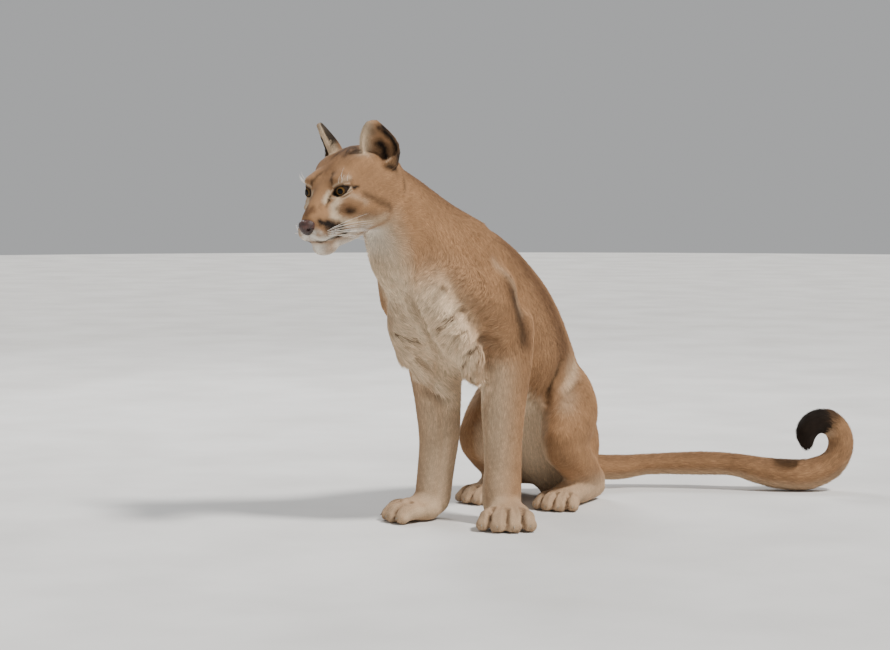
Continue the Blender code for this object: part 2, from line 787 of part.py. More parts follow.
def thinned_by_stretch(body):
    """Thins the head and each paw to its own count, then all the rest."""
    stretches = [(HEAD_TRIANGLES, HALF_SPACE, skull_plane())]
    stretches += [(count, LEG_BOXES[name], Matrix.Identity(4)) for name, count in PAW_TRIANGLES.items()]
    for triangles, corners, place in stretches:
        thinned(body, triangles, within(coordinates(body.data), *corners, place))
    points = coordinates(body.data)
    fine = [within(points, *corners, place) for _, corners, place in stretches]
    return thinned(body, PLAIN_TRIANGLES, ~np.any(fine, axis=0))


def body_nodes(body):
    """Parts the whole body into its named nodes with thin flat cuts."""
    nodes = [part_off(body, "head", *HALF_SPACE, skull_plane())]
    chest_top = section_frame(*CHEST_CUT, NECK_ACROSS, (0, -1, 1))
    nodes.append(part_off(body, "neck", *HALF_SPACE, chest_top))
    tail = part_off(body, "tail_root", *HALF_SPACE, plane_frame(*RUMP_CUT))
    nodes.append(part_off(tail, "tail_tip", *TAIL_TIP_BOX))
    nodes.append(part_off(tail, "tail_curl", *HALF_SPACE, plane_frame(*TAIL_CURL_CUT)))
    nodes.append(part_off(tail, "tail_middle", *HALF_SPACE, plane_frame(*TAIL_MIDDLE_CUT)))
    nodes.append(tail)
    for name, (low, high) in LEG_BOXES.items():
        nodes.append(part_off(body, name, low, high))
    body.name = "torso"
    nodes.append(largest(body))
    return nodes


def eye_frame(side):
    """A frame at the eye's centre, x along its gaze."""
    x, y, z = EYE_CENTRE
    place = head_frame() @ Matrix.Translation((x, side * y, z))
    place = place @ Matrix.Rotation(math.radians(side * EYE_TURN_OUT), 4, "Z")
    return place @ Matrix.Rotation(math.radians(-EYE_RISE_OF_GAZE), 4, "Y")


def lid_opening(side):
    """The almond between the lids, drawn out along the gaze from the eye's centre."""
    outline = []
    slant = math.radians(EYE_SLANT)
    for k in range(LID_POINTS):
        t = 2 * math.pi * k / LID_POINTS
        height = EYE_RISE if math.sin(t) >= 0 else EYE_FALL
        y = EYE_HALF_WIDTH * math.cos(t)
        z = height * math.copysign(abs(math.sin(t)) ** LID_ROUNDNESS, math.sin(t))
        outline.append((y * math.cos(slant) - z * math.sin(slant), y * math.sin(slant) + z * math.cos(slant)))
    points = [(LID_CUT_FROM, y, z) for y, z in outline]
    points += [(LID_CUT_TO, y * LID_FLARE, z * LID_FLARE) for y, z in outline]
    n = len(outline)
    faces = [tuple(reversed(range(n))), tuple(range(n, 2 * n))]
    faces += [(i, (i + 1) % n, n + (i + 1) % n, n + i) for i in range(n)]
    piece = (np.array(points), faces)
    return moved(piece if side > 0 else flipped(piece, 1), eye_frame(side))


def ball(radius, place, rings=12, ring=16):
    return moved(blob((0.0, 0.0, 0.0), (radius,) * 3, rings=rings, ring=ring), place)


def on_surface(item, points, place):
    """Drops points of a frame on the nearest place of an object's surface."""
    tree = BVHTree.FromObject(item, bpy.context.evaluated_depsgraph_get())
    return [tuple(tree.find_nearest(place @ Vector(p))[0]) for p in points]


def grown(item, name, distance):
    twin = copy_of(item, name)
    mesh = twin.data
    set_coordinates(mesh, coordinates(mesh) + normals(mesh) * distance)
    return twin


def detailed_head(head):
    """Lids, eye sockets, the line of the mouth and the split of the lip."""
    for _, side in SIDES:
        cut(head, build("lid", [ball(EYE_RADIUS + LID_THICKNESS, eye_frame(side))]), "UNION")
        cut(head, build("opening", [lid_opening(side)]))
        cut(head, build("socket", [ball(EYE_RADIUS + GAP, eye_frame(side))]))
    place = head_frame()
    left = on_surface(head, MOUTH_LINE, place)
    right = on_surface(head, [(x, -y, z) for x, y, z in MOUTH_LINE], place)
    path = right[:0:-1] + left
    radii = [MOUTH_GROOVE * (0.5 if k in (0, len(path) - 1) else 1.0) for k in range(len(path))]
    cut(head, build("mouth", [tube(list(zip(path, radii)), steps=2, ring=6)]))
    split = on_surface(head, LIP_SPLIT, place)
    cut(head, build("split", [tube([(p, SPLIT_GROOVE) for p in split], steps=2, ring=6)]))
    return largest(head)


def nose_leather(head):
    """The bare nose, set on the muzzle, with its two nostrils."""
    place = head_frame()
    points, faces = blob((0.0, 0.0, 0.0), NOSE_RADII, rings=10, ring=16)
    part_down = 0.5 - points[:, 2] / NOSE_RADII[2] / 2
    points[:, 1] *= 1 + (NOSE_FOOT - 1) * part_down
    nose = build("nose", [moved((points + np.array(NOSE_CENTRE), faces), place)])
    shell = grown(head, "shell", GAP)
    cut(nose, shell)
    for _, side in SIDES:
        x, y, z = NOSTRIL_CENTRE
        turn = Matrix.Translation((x, side * y, z)) @ Matrix.Rotation(math.radians(side * 35), 4, "Z")
        cut(nose, build("nostril", [moved(blob((0, 0, 0), NOSTRIL_RADII, rings=6, ring=10), place @ turn)]))
    return largest(nose)


def ear(name, side, head):
    """A rounded ear: a tapering cup that opens ahead and outwards."""
    base, tip = np.array(EAR_BASE), np.array(EAR_TIP)
    axis = unit(tip - base)
    wide = unit(np.array(EAR_WIDTH_WAY) - axis * np.dot(EAR_WIDTH_WAY, axis))
    opens = np.cross(axis, wide)
    if opens[0] < 0:
        opens = -opens
    length = np.linalg.norm(tip - base)

    def shape(sections, shift):
        rows = [
            (base + axis * t * length + opens * shift - wide * step, opens * d, w)
            for t, step, w, d in sections
        ]
        piece = loft(rows, steps=5, ring=28, cap=0.8)
        return moved(piece if side > 0 else flipped(piece, 1), head_frame())

    item = build(name, [shape(EAR_SECTIONS, 0.0)])
    inner = [(t, step, w - EAR_WALL, d) for t, step, w, d in EAR_SECTIONS if t > EAR_CUP_FLOOR]
    cut(item, build("cup", [shape(inner, EAR_CUP_SHIFT)]))
    fused(item, EAR_VOXEL)
    relaxed(item, 12, 0.35, 0.25)
    thinned(item, EAR_TRIANGLES)
    cut(item, grown(head, "shell", GAP))
    return largest(item)


def painted(item, colour, roughness=0.85):
    material = bpy.data.materials.new(item.name)
    material.use_nodes = True
    shader = material.node_tree.nodes["Principled BSDF"]
    shader.inputs["Base Color"].default_value = (*colour, 1.0)
    shader.inputs["Roughness"].default_value = roughness
    shader.inputs["Metallic"].default_value = 0.0
    item.data.materials.clear()
    item.data.materials.append(material)
    item.data.shade_smooth()
    item.data.set_sharp_from_angle(angle=math.radians(50))
    return item


def sculpted(body):
    """Creases between the muscles and hollows round the eyes, pressed in the dense body."""
    for path, radius, depth in CREASES.values():
        creased(body, path, radius, depth)
    for path, radius, depth in HIND_CREASES.values():
        for _, side in SIDES:
            creased(body, [(side * x, y, z) for x, y, z in path], radius, depth)
    place = head_frame()
    for (x, y, z), radius, depth in HEAD_HOLLOWS:
        for _, side in SIDES:
            dented(body, place @ Vector((x, side * y, z)), radius, depth)


def finished(items):
    """Scales all to the real height and stands it centred over the origin on the floor."""
    scale = SITTING_HEIGHT / DRAWN_HEIGHT
    sets = [coordinates(item.data) * scale for item in items]
    everything = np.vstack(sets)
    low, high = everything.min(0), everything.max(0)
    shift = np.array(((low[0] + high[0]) / 2, (low[1] + high[1]) / 2, low[2]))
    for item, points in zip(items, sets):
        set_coordinates(item.data, points - shift)


def main():
    clear_scene()
    body = build("body", body_pieces())
    fused(body, VOXEL)
    relaxed(body, RELAX_ROUNDS, 0.5, 0.08)
    sculpted(body)
    thinned_by_stretch(body)
    cut(body, box(*BELOW_FLOOR, Matrix.Identity(4), 0.0))
    nodes = body_nodes(body)
    head = next(item for item in nodes if item.name == "head")
    detailed_head(head)
    nose = nose_leather(head)
    eyes = [build(f"eye_{name}", [ball(EYE_RADIUS, eye_frame(side))]) for name, side in SIDES]
    ears = [ear(f"ear_{name}", side, head) for name, side in SIDES]
    for item in nodes + ears:
        painted(triangulated(item), DARK if item.name == "tail_tip" else TAWNY)
    painted(triangulated(nose), NOSE_PINK, 0.45)
    for item in eyes:
        painted(item, AMBER, 0.1)
    finished(nodes + ears + eyes + [nose])


main()
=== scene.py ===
"""The looks of the sitting cougar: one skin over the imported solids, its coat, face, light and camera.

Lengths are drawn millimetres, of the animal before it was scaled and set on its origin, apart from those
that are said to be metres of the frame. The head has a frame of its own: x ahead, y to the left, z up.
"""

import math

import bmesh
import bpy
import numpy as np
from mathutils import Matrix, Vector
from mathutils.bvhtree import BVHTree


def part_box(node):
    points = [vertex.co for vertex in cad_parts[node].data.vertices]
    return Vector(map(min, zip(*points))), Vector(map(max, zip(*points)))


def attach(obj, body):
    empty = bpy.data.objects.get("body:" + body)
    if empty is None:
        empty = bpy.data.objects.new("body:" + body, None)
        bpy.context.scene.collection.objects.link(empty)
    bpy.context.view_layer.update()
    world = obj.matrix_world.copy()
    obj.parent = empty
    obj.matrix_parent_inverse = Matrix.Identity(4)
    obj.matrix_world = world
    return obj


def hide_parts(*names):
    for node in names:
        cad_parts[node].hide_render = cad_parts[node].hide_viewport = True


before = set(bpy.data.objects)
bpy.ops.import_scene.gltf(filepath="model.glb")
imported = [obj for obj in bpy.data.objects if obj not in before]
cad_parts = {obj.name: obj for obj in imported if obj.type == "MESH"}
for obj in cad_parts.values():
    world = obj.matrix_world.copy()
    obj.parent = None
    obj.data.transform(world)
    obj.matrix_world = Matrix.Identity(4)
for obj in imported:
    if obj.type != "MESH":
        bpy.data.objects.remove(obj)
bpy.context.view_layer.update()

# From drawn points to the frame
MM = 0.001
SCALE = MM * 0.84 / 0.88

# Camera, in drawn millimetres and pixels of the photo
ACROSS = Vector((0.883, 0.469, 0.0)).normalized()
AWAY = Vector((-0.469, 0.883, 0.0)).normalized()
UP = Vector((0.0, 0.0, 1.0))
CAMERA_DISTANCE = 4600
CAMERA_HEIGHT = 770
FRAME_PIXELS = (890, 650)
HORIZON_PIXEL = (475, 168)
FOCAL_PIXELS = 2116
SENSOR = 36.0

# Light and floor, in metres of the frame
LIT_POINT = Vector((0, 0, 0.4))
KEY_POWER = 4.2
KEY_ANGLE = 9
KEY_COLOUR = (1, 0.975, 0.94)
FILL_POWER = 14
FILL_COLOUR = (0.95, 0.97, 1)
RIM_POWER = 70
SURROUND = (0.80, 0.81, 0.82)
SURROUND_STRENGTH = 0.54
FLOOR_RADIUS = 14

# Place and turns of the head, with the left eye and its lids in the head's frame
EYE_MIDDLE = (-166, -348, 720)
HEAD_TURN = 9.0
HEAD_DROP = 18.0
HEAD_TILT = 1.5
EYE_CENTRE = (-12.5, 40.5, 0)
EYE_TURN_OUT = 18.0
EYE_RISE_OF_GAZE = 8.0
EYE_RADIUS = 18
CORNEA_RISE = 0.9
IRIS_RADIUS = 10.6
PUPIL_RADIUS = 6
BALL_SIDES = 96
BALL_RINGS = 64
LID_HALF_WIDTH = 15.8
LID_RISE = 7.8
LID_FALL = 7.2
LID_SLANT = 17.0
FAR = 1000
# Pale line, pale ring and dark line round the lids, each as way off their edge, reach and strength; the
# pale line, laid on the lower lid, is a painted highlight of its rim
LID_MARKS_AND_HIGHLIGHT = [(3.4, 1.2, 1.0), (8.5, 2.8, 0.5), (6.2, 1.4, 0.6)]
LID_RIM_DARK = 0.97

# Skin: its nodes
LIMB_PARTS = ("foreleg", "forepaw", "hindleg", "hindpaw")
LIMBS = [f"{part}_{side}" for part in LIMB_PARTS for side in ("left", "right")]
BODY_FLESH = ["neck", "torso", *LIMBS, "tail_root", "tail_middle", "tail_curl", "tail_tip"]
HEAD_FLESH = ["head", "ear_left", "ear_right"]
# Skin, in metres of the frame
SWELL = 0.0004
BODY_VOXEL = 0.0036
HEAD_VOXEL = 0.0013
NOSE_VOXEL = 0.0007
UNWRAP_VOXEL = 0.012
SEAM_HALF = 0.0016
SKIN_OFF_FLOOR = 0.0008
HEAD_BLEND = (-0.025, 0.005)
PAWS_KEPT = (0.06, 0.10)
# The cut between head and neck, and rounds of smoothing
SKULL_CUT = ((-135, -172, 800), (-136, -250, 612))
NECK_ACROSS = (0.86, -0.51, 0.0)
NOSE_SMOOTHING = 3
BODY_EASE = 10
HEAD_EASE = 90

# Coat on the head, in its frame: place on the left side, length and depth
HEAD_COAT = [
    ((78, 0, -40), 1.8, 0.3),
    ((85, 0, -62), 1.8, 0.3),
    ((62, 30, -62), 2.8, 0.5),
    ((45, 38, -75), 3.2, 0.5),
    ((45, 0, -110), 5, 1),
    ((32, 0, -4), 4.2, 0.8),
    ((8, 40, 0), 1.6, 0.2),
    ((0, 40, 20), 4.5, 0.8),
    ((-22, 0, 44), 6.5, 1.4),
    ((-80, 0, 64), 7.5, 1.8),
    ((15, 50, -40), 5.5, 1.2),
    ((-20, 65, -50), 6.5, 1.5),
    ((-50, 65, 20), 6, 1.3),
    ((-90, 85, -55), 11, 2.8),
    ((-50, 0, -118), 9, 2.2),
    ((-60, 40, -105), 9, 2.2),
    ((-122, 62, 40), 5.5, 0.9),
    ((-102, 48, 64), 11, 2),
    ((-126, 78, 36), 11, 2),
    ((-120, 75, 80), 4.5, 0.5),
    ((-109, 72.5, 120), 3.5, 0.4),
]
# Coat on the left side of all the rest: place, length and depth
BODY_COAT = [
    ((-130, -225, 620), 16, 4.2),
    ((-100, -117, 753), 12, 3.6),
    ((-10, -60, 640), 13, 3.6),
    ((-60, -220, 500), 20, 4.6),
    ((-30, -150, 400), 24, 4.8),
    ((-10, -70, 330), 25, 4.8),
    ((95, -20, 480), 11, 3.2),
    ((75, 0, 300), 9, 2.6),
    ((71, -4, 180), 8, 2.2),
    ((72, -10, 80), 6.5, 1.7),
    ((110, -70, 20), 5, 1.1),
    ((0, 145, 592), 13, 3.6),
    ((0, 335, 433), 14, 3.8),
    ((0, 440, 200), 15, 3.8),
    ((105, 160, 400), 14, 3.8),
    ((0, 80, 270), 22, 4.6),
    ((120, 280, 200), 13, 3.4),
    ((108, 390, 45), 8, 2),
    ((97, 210, 20), 5, 1.1),
]
# Coat along the tail: share of the way, length and depth
TAIL_COAT = [(0.0, 14, 3.8), (0.25, 14, 4.0), (0.6, 14, 4.0), (0.9, 14, 3.6), (1.0, 13, 3.0)]
TAIL = [
    (0, 425, 85), (14, 495, 60), (84, 582, 50), (146, 621, 57), (258, 669, 61), (335, 693, 60),
    (391, 712, 48), (443, 728, 40), (501, 753, 40), (548, 778, 62), (569, 789, 100), (566, 788, 140),
    (546, 766, 168), (523, 737, 168), (509, 717, 146), (511, 713, 122),
]
STATION_BLUR = 10

# The lie of the coat: lines that the hair near them follows. First on the left half of the head
HEAD_LIES = [
    [(80, 0, -35), (40, 0, -4), (0, 0, 30), (-60, 0, 62), (-150, 0, 55)],
    [(20, 24, -4), (6, 36, 20), (-40, 48, 44), (-85, 50, 62)],
    [(80, 12, -62), (62, 34, -66), (30, 48, -66), (-20, 64, -66), (-130, 90, -90)],
    [(50, 22, -28), (20, 44, -26), (-20, 66, -30), (-80, 84, -40), (-140, 90, -70)],
    [(-10, 62, 6), (-50, 74, 6), (-100, 84, -10), (-150, 86, -30)],
    [(62, 0, -100), (30, 0, -122), (-30, 0, -124), (-90, 0, -120)],
    [(40, 30, -96), (0, 44, -100), (-60, 56, -106), (-110, 60, -120)],
    [(-115, 55, 45), (-112, 62, 80), (-109, 72.5, 125)],
    [(-130, 85, 30), (-125, 88, 70), (-112, 78, 120)],
]
# Then along the middle and on the left half of the body
MIDDLE_LIES = [
    [(-146, -186, 803), (-50, -30, 700), (0, 145, 600), (0, 335, 440), (0, 450, 200), (0, 460, 90)],
    [(-137, -240, 650), (-100, -235, 547), (-60, -225, 480), (-30, -150, 400), (-10, -70, 330)],
    [(-10, -60, 320), (0, 80, 270), (0, 200, 200), (0, 300, 60)],
    TAIL,
]
LEFT_LIES = [
    [(-60, -170, 720), (-20, -140, 640), (40, -120, 550), (50, -100, 450), (45, -75, 340)],
    [(-60, -80, 720), (60, -10, 600), (110, -20, 490), (120, -10, 400), (118, 0, 300)],
    [(80, -50, 420), (78, -50, 300), (71, -46, 180), (72, -50, 80), (100, -100, 45), (118, -140, 20)],
    [(90, 60, 400), (90, 50, 300), (80, 44, 180), (80, 36, 60), (110, 0, 12)],
    [(70, 60, 600), (100, 120, 480), (105, 180, 360), (80, 190, 260), (50, 220, 150)],
    [(80, 220, 460), (120, 280, 300), (130, 300, 180), (125, 320, 90), (115, 360, 30)],
    [(90, 330, 330), (90, 410, 200), (80, 430, 90)],
    [(108, 300, 50), (100, 240, 45), (98, 170, 22)],
]
# And on the loose skin of the chest, which differs from side to side
CHEST_LIES = [
    [(50, -160, 545), (25.4, -186.1, 518.6), (8, -208, 490), (-20, -200, 450)],
    [(75, -130, 490), (51.3, -147.1, 471.4), (35.5, -180, 448.5), (-4, -180, 423.1)],
    [(90.5, -79.2, 413), (68, -110, 409.1), (55.5, -135.5, 376), (50, -115, 335)],
    [(-70, -210, 460), (-40, -195, 445), (-30, -175, 420)],
    [(-105, -190, 423), (-55.9, -161.6, 405.3), (-40, -130, 370)],
    [(-100, -160, 390), (-72.8, -140.7, 366.6), (-56.5, -106.2, 343), (-50, -85, 315)],
]
CHEST_PULL = 4.0
LIE_BLUR = 40
LIE_ROUNDS = 3

# Markings of the head, each a line in its frame, on the left side: line, reach, strength; among the dark
# ones is painted shade in the neck crease
WHITE_MARKS = [
    ([(78, 6, -70), (64, 28, -78), (48, 36, -82)], 11, 1),
    ([(75, 16, -60), (69, 26, -66)], 7, 1),
    ([(56, 0, -104), (30, 10, -118)], 20, 1),
    ([(20, 20, -118), (-60, 20, -126), (-120, 0, -130)], 30, 0.9),
    ([(10, 44, -92), (-40, 60, -96)], 14, 0.7),
]
PALE_MARKS = [
    ([(10, 40, -14), (24, 36, -28), (32, 38, -44)], 9.5, 1),
    ([(32, 38, -44), (18, 45, -58), (-8, 55, -68)], 8.5, 1),
    ([(14, 24, 4), (22, 20, -7), (30, 17, -14)], 5.5, 1),
    ([(4, 50, 20), (-18, 57, 24)], 8, 0.45),
    ([(-10, 62, -72), (-70, 80, -84)], 15, 0.6),
    ([(-97, 48, 60), (-94, 53, 85), (-100, 60, 112)], 17.5, 0.95),
    ([(-12, 64, -12), (-34, 70, -34)], 8, 0.3),
]
BROWN_MARKS = [
    ([(66, 0, -24), (58, 8, -18)], 10, 0.9),
    ([(-20, 0, 42), (-100, 0, 64)], 13, 0.6),
    ([(-95, 0, 62), (-160, 0, 50)], 58, 0.9),
    ([(-75, 24, 58), (-110, 26, 60)], 8, 0.7),
    ([(12, 53, -26), (2, 56, -36)], 11, 0.8),
    ([(-20, 64, -62), (-45, 74, -66)], 11, 0.6),
    ([(45, 20, -18), (30, 20, -8)], 6, 0.45),
]
DARK_MARKS_AND_NECK_SHADE = [
    ([(60, 29, -46), (40, 40, -56)], 11, 1),
    ([(54, 37, -56), (24, 44, -66)], 15, 1),
    ([(60, 25, -43), (56.3, 34.8, -49.9), (35.8, 44.9, -59.3)], 9.5, 1),
    ([(35.8, 44.9, -59.3), (30, 45.8, -67.8), (19.3, 41.4, -80.2)], 12, 1),
    ([(71, 29, -64), (42, 41, -66)], 1.5, 0.8),
    ([(68, 30, -69.5), (38, 40, -72)], 1.6, 0.8),
    ([(66, 27, -75), (36, 38, -77.5)], 1.5, 0.75),
    ([(14, 26.2, -4.5), (18.8, 24.3, -8.6), (25, 23.8, -15)], 2.6, 0.9),
    ([(25, 23.8, -15), (33, 23.8, -23)], 3.6, 0.5),
    ([(2, 56, -41.5), (-4.5, 59, -44.5)], 7.8, 0.85),
    ([(-6, 58.5, 8.5), (-22.1, 57.1, 4.1), (-33, 60.5, -1.2)], 4.2, 1),
    ([(-22, 16, 37), (-6, 22, 30), (6, 29, 20)], 4.6, 0.7),
    ([(-38, 73, -18), (-58, 86, -40), (-94, 87.5, -67.5)], 10, 0.55),
    # Painted shade in the neck crease, on the line of HEAD_CREASES
    ([(-165, 78, -19), (-153.6, 81.7, -39), (-145, 84, -50)], 4, 0.75),
    ([(-117, 82, 15), (-125.4, 85, 11), (-142, 78, 0)], 8.5, 0.9),
    ([(-63.4, 14.2, 55.6), (-85, 8, 62), (-106.8, 0.5, 63.9)], 5.5, 0.75),
    ([(-95, 24, 62), (-110, 6, 64)], 6, 0.7),
    ([(-146, 88, 0), (-143, 93, 30), (-139, 95, 55)], 15, 1),
    ([(-139, 95, 55), (-135.1, 94.5, 70), (-122, 86, 100)], 13, 1),
    ([(-105, 62, 112), (-112, 66, 96)], 13, 0.45),
    ([(-127.9, 64.5, 64), (-133, 69, 50), (-131.4, 68.7, 34)], 13, 1),
    ([(-110, 50, 50), (-112, 52, 43)], 4.5, 0.7),
]
EAR_TUFT = [(-123.7, 80.4, 26), (-130, 86, 45)]
LIP_MARK = [
    (79, 0, -85), (71.9, 11.1, -85), (64.5, 17, -86.5), (52.1, 32, -84.5), (34.1, 36, -85.5),
    (16, 39.8, -85.7), (6, 46, -82),
]
LIP_SPLIT = [(88, 0, -60), (86, 0, -70), (80, 0, -84)]
LIP_MARKS = [(LIP_MARK, 5.2, 0.95), (LIP_SPLIT, 2.6, 0.9)]
EAR_TUFT_REACH = 5.2
# Way that the cup of the left ear faces, where the ear's back starts, and how dark that is
EAR_FACING = (0.71, 0.70, 0.0)
EAR_FOOT = (55, 75)
EAR_BACK_DARK = 0.92
# How far the edges of markings wander, over lengths of these sizes
MARK_WANDER = 1.4
WANDER_SIZES = (16, 6)
# Markings of the body, left and right alike, with painted shade behind the upper arms and a painted
# highlight on the flank fold behind them
BODY_PALE_AND_HIGHLIGHT = [
    # Painted highlight on the flank fold behind the upper arm
    ([(74, -48, 572), (100, -20, 520), (118, -15, 464)], 14, 0.25),
    ([(10, -200, 495), (45, -165, 430), (40, -130, 370)], 60, 0.95),
    ([(80, -205, 470), (95, -175, 390), (85, -110, 330)], 45, 0.95),
    ([(30, 300, 400), (110, 260, 300), (115, 220, 230)], 22, 0.3),
    ([(93, 309, 327), (104, 272, 300), (108, 240, 268)], 18, 0.5),
    ([(78, -60, 330), (71, -50, 180), (80, -70, 60)], 45, 0.6),
]
BODY_BROWN_AND_SHADE = [
    ([(60, 50, 620), (94.6, 178.8, 476.4), (102, 247, 371)], 50, 0.9),
    # Painted shade behind the upper arm
    ([(104.4, -40, 521.8), (122, -22, 465), (126, 0, 400)], 26, 0.75),
    ([(60, 400, 300), (70, 430, 150)], 50, 0.6),
]
# Painted shade along the rear of the upper arms
BODY_PAINTED_SHADE = [
    ([(110, -37, 505), (117, -28, 467), (121, -21, 435), (123.5, -15, 402)], 15, 0.55),
]
# Markings along spine, throat and belly: distances at which they start to fade and end. Where the tail
# starts from front to back, and the shares of its length between which it turns dark
SPINE_BROWN = (20, 120)
THROAT_PALE = (30, 100)
THROAT_WHITE = (15, 70)
BELLY_PALE = (50, 90)
TAIL_FROM = (460, 500)
TAIL_DARK = (0.865, 0.915)

# Clefts of the loose chest skin and creases of arm and flank: line, reach, depth
CREASES = [
    ([(8, -208, 490), (25.4, -186.1, 518.6)], 6, 4),
    ([(-4, -180, 423.1), (35.5, -187, 448.5), (51.3, -147.1, 471.4)], 6, 5),
    ([(45, -169, 416), (59.1, -142.7, 429.6)], 5, 3.5),
    ([(33, -166, 396), (47.2, -166.9, 413.9)], 5, 3.5),
    ([(55.5, -135.5, 376), (68, -86.7, 409.1), (90.5, -79.2, 403)], 7, 5),
    ([(24, -110, 343), (48, -131.3, 362.6)], 5, 4),
    ([(70, -100, 362), (70, -70, 345)], 8, 1.5),
    ([(-99.6, -188, 420.4), (-55.9, -161.6, 405.3)], 5, 4),
    ([(-99.8, -170.8, 394.6), (-72.2, -164.1, 390.9)], 4.5, 3.5),
    ([(-72.8, -140.7, 366.6), (-56.5, -106.2, 343)], 5, 4),
    ([(-70, -205, 460), (-40, -200, 445)], 4.5, 2.5),
    ([(-39.7, -216.5, 500.7), (-26.4, -186.7, 451.4), (-25, -159.3, 415), (-30, -110, 370)], 8, 5),
    ([(98.4, 233.9, 335.6), (80, 215, 290), (69.7, 211.2, 243.2)], 7, 4),
    ([(122.3, 279.1, 280.5), (113.6, 234.2, 261.5)], 6, 3.5),
    ([(-122.3, 279.1, 280.5), (-113.6, 234.2, 261.5)], 6, 3.5),
]
# Creases of the head, on the left side in its frame, with shade painted in them
HEAD_CREASES = [
    ([(-165, 78, -19), (-153.6, 81.7, -39), (-145, 84, -50)], 5, 1.2),
]
# Painted shade in clefts and creases for each millimetre of depth, at most, and on the neck; share and
# place of their rims
CREASE_SHADE = 0.2
DARKEST_CREASE = 0.85
NECK_SHADE = 0.75
RIM_SHARE = 0.35
RIM_PLACE = 2.2
# Lower edges of the loose chest skin: line and height; the skin above them stands out, and shadow is
# painted below them
FOLDS = [
    ([(-106.7, -129, 355.6), (-87.7, -110.2, 331.1), (-72.4, -84.6, 305.7), (-48, -70, 290)], 8.5),
    ([(20, -90, 320), (45, -100, 333), (64, -107.1, 355)], 5),
]
FOLD_ABOVE = 30
FOLD_BELOW = 12
# Painted shadow under each fold, for each millimetre of its height
FOLD_SHADE = 0.06
# Edges of the loose chest skin, where the coat is longer and stands off
FRINGES = [
    [(-106.7, -129, 355.6), (-87.7, -110.2, 331.1), (-72.4, -84.6, 305.7), (-51.8, -69, 285.7)],
    [(-51.8, -69, 285.7), (-20, -64, 295), (30, -80, 315)],
    [(30, -100, 330), (55, -110, 350), (80, -87, 395)],
    [(10, -195, 475), (42, -185, 455)],
    [(20, -160, 390), (52, -148, 412)],
    [(-95, -175, 412), (-60, -165, 398)],
]
FRINGE_REACH = 11
# How much longer and deeper the coat is there, and how much shorter in clefts and under folds
FRINGE_LONGER = 0.35
FRINGE_DEEPER = 1.4
CLEFT_SHORTER = 0.55
FOLD_SHORTER = 0.75
# Places of the head that are eased, on the left side in its frame: centre, reach
EASED = [
    ((-4, 46, 26), 18),
    ((-22, 37, 36), 18),
    ((-45, 82, -35), 14),
    ((-118, 81, 18), 13),
]
# Places of the head that are pushed out or in: centre, reach, way out
PUSHED = [
    ((-26, 34, 36), 14, 3.2),
    ((-10, 47, 28), 11, -1.8),
]

# Whiskers of the left side, in the head's frame: steps back, rows down the muzzle
WHISKER_STEPS = [64, 54, 44]
WHISKER_ROWS = [-61, -66.5, -72, -77.5]
WHISKER_OUT = 50
WHISKER_LENGTH = 102
WHISKER_FAN = 0.018
BROW_HAIRS = [(0, 52, 20), (-7, 48, 24), (3, 45, 19), (-14, 52, 22)]
BROW_HAIR_LENGTH = 28
# Ways of a whisker and of a brow hair at its root and at its tip; rows fan out by their height
WHISKER_WAYS = ((-0.40, 0.75, 0.08), (-1.00, 0.28, -0.25))
BROW_WAYS = ((0.40, 0.50, 0.80), (-0.60, 0.45, 0.70))
HAIR_STEPS = 9
HAIR_SIDES = 5

# Paws: place, turn to the left, size
PAWS = [
    ((110, -56, 0), 24.0, 1.0),
    ((-110, -62, 0), -42.0, 0.94),
    ((97, 240, 0), 6.0, 0.86),
    ((-97, 240, 0), -6.0, 0.86),
]
# For a paw of size 1: side step and reach of each toe, reach and depth of the clefts between toes, and the
# line of a cleft as step ahead, share of the side step and height; claws are sought from a step ahead
TOES = [(-52.2, 51), (-18, 67), (18, 67), (52.2, 52)]
TOE_CLEFT = (4.6, 8.5)
CLEFT_LINE = [(14, 1, 2), (12, 1, 22), (-6, 0.95, 38), (-26, 0.88, 46)]
CLAW_HEIGHT = 16.5
CLAW_SEEK = 60

# Hairs and claws, in metres of the frame
WHISKER_RADIUS = 0.00046
HAIR_ROOT = 0.001
CLAW_LENGTH = 0.0125
CLAW_RADIUS = 0.0023
CLAW_SUNK = 0.004

# Coat of solid tufts: counts and shares
SEED = 11
TUFTS = 275000
LONG_TUFTS = 28000
PIECE_TRIANGLES = 190000
FEWER_SHORT = 0.75
TUFT_SLENDERNESS = 0.105
TUFT_LENGTHS = (0.75, 1.2)
TUFT_BREADTHS = (0.75, 1.25)
TUFT_RISES = (0.4, 0.95)
TUFT_LIFTS = (0.03, 0.6)
TUFT_TURN = 0.10
LOCK_TURN = 0.16
LOCK_LENGTHENING = 0.10
LOCK_TONE = 0.22
TONE_SPREAD = 0.2
MARK_SPREAD = 0.16
RIDGE = 0.7
MIDDLE_WIDTH = 0.8
MIDDLE_RISE = 0.02
TUFT_BEND = 0.35
# Coat, in metres of the frame
PIECE_HEIGHT = 0.1
LONG_FROM = (0.014, 0.017)
LOCK_LENGTH = 0.012
TUFT_WIDTHS = (0.00045, 0.0017)
TUFT_ROOT = 0.0004
TUFT_OFF_FLOOR = 0.0006
SOLE_BARE = 0.0015
# Bare rim of the lids in drawn millimetres, and the size of a tuft's patch on the unwrap
LID_BARE = 1.2
PATCH = 0.003
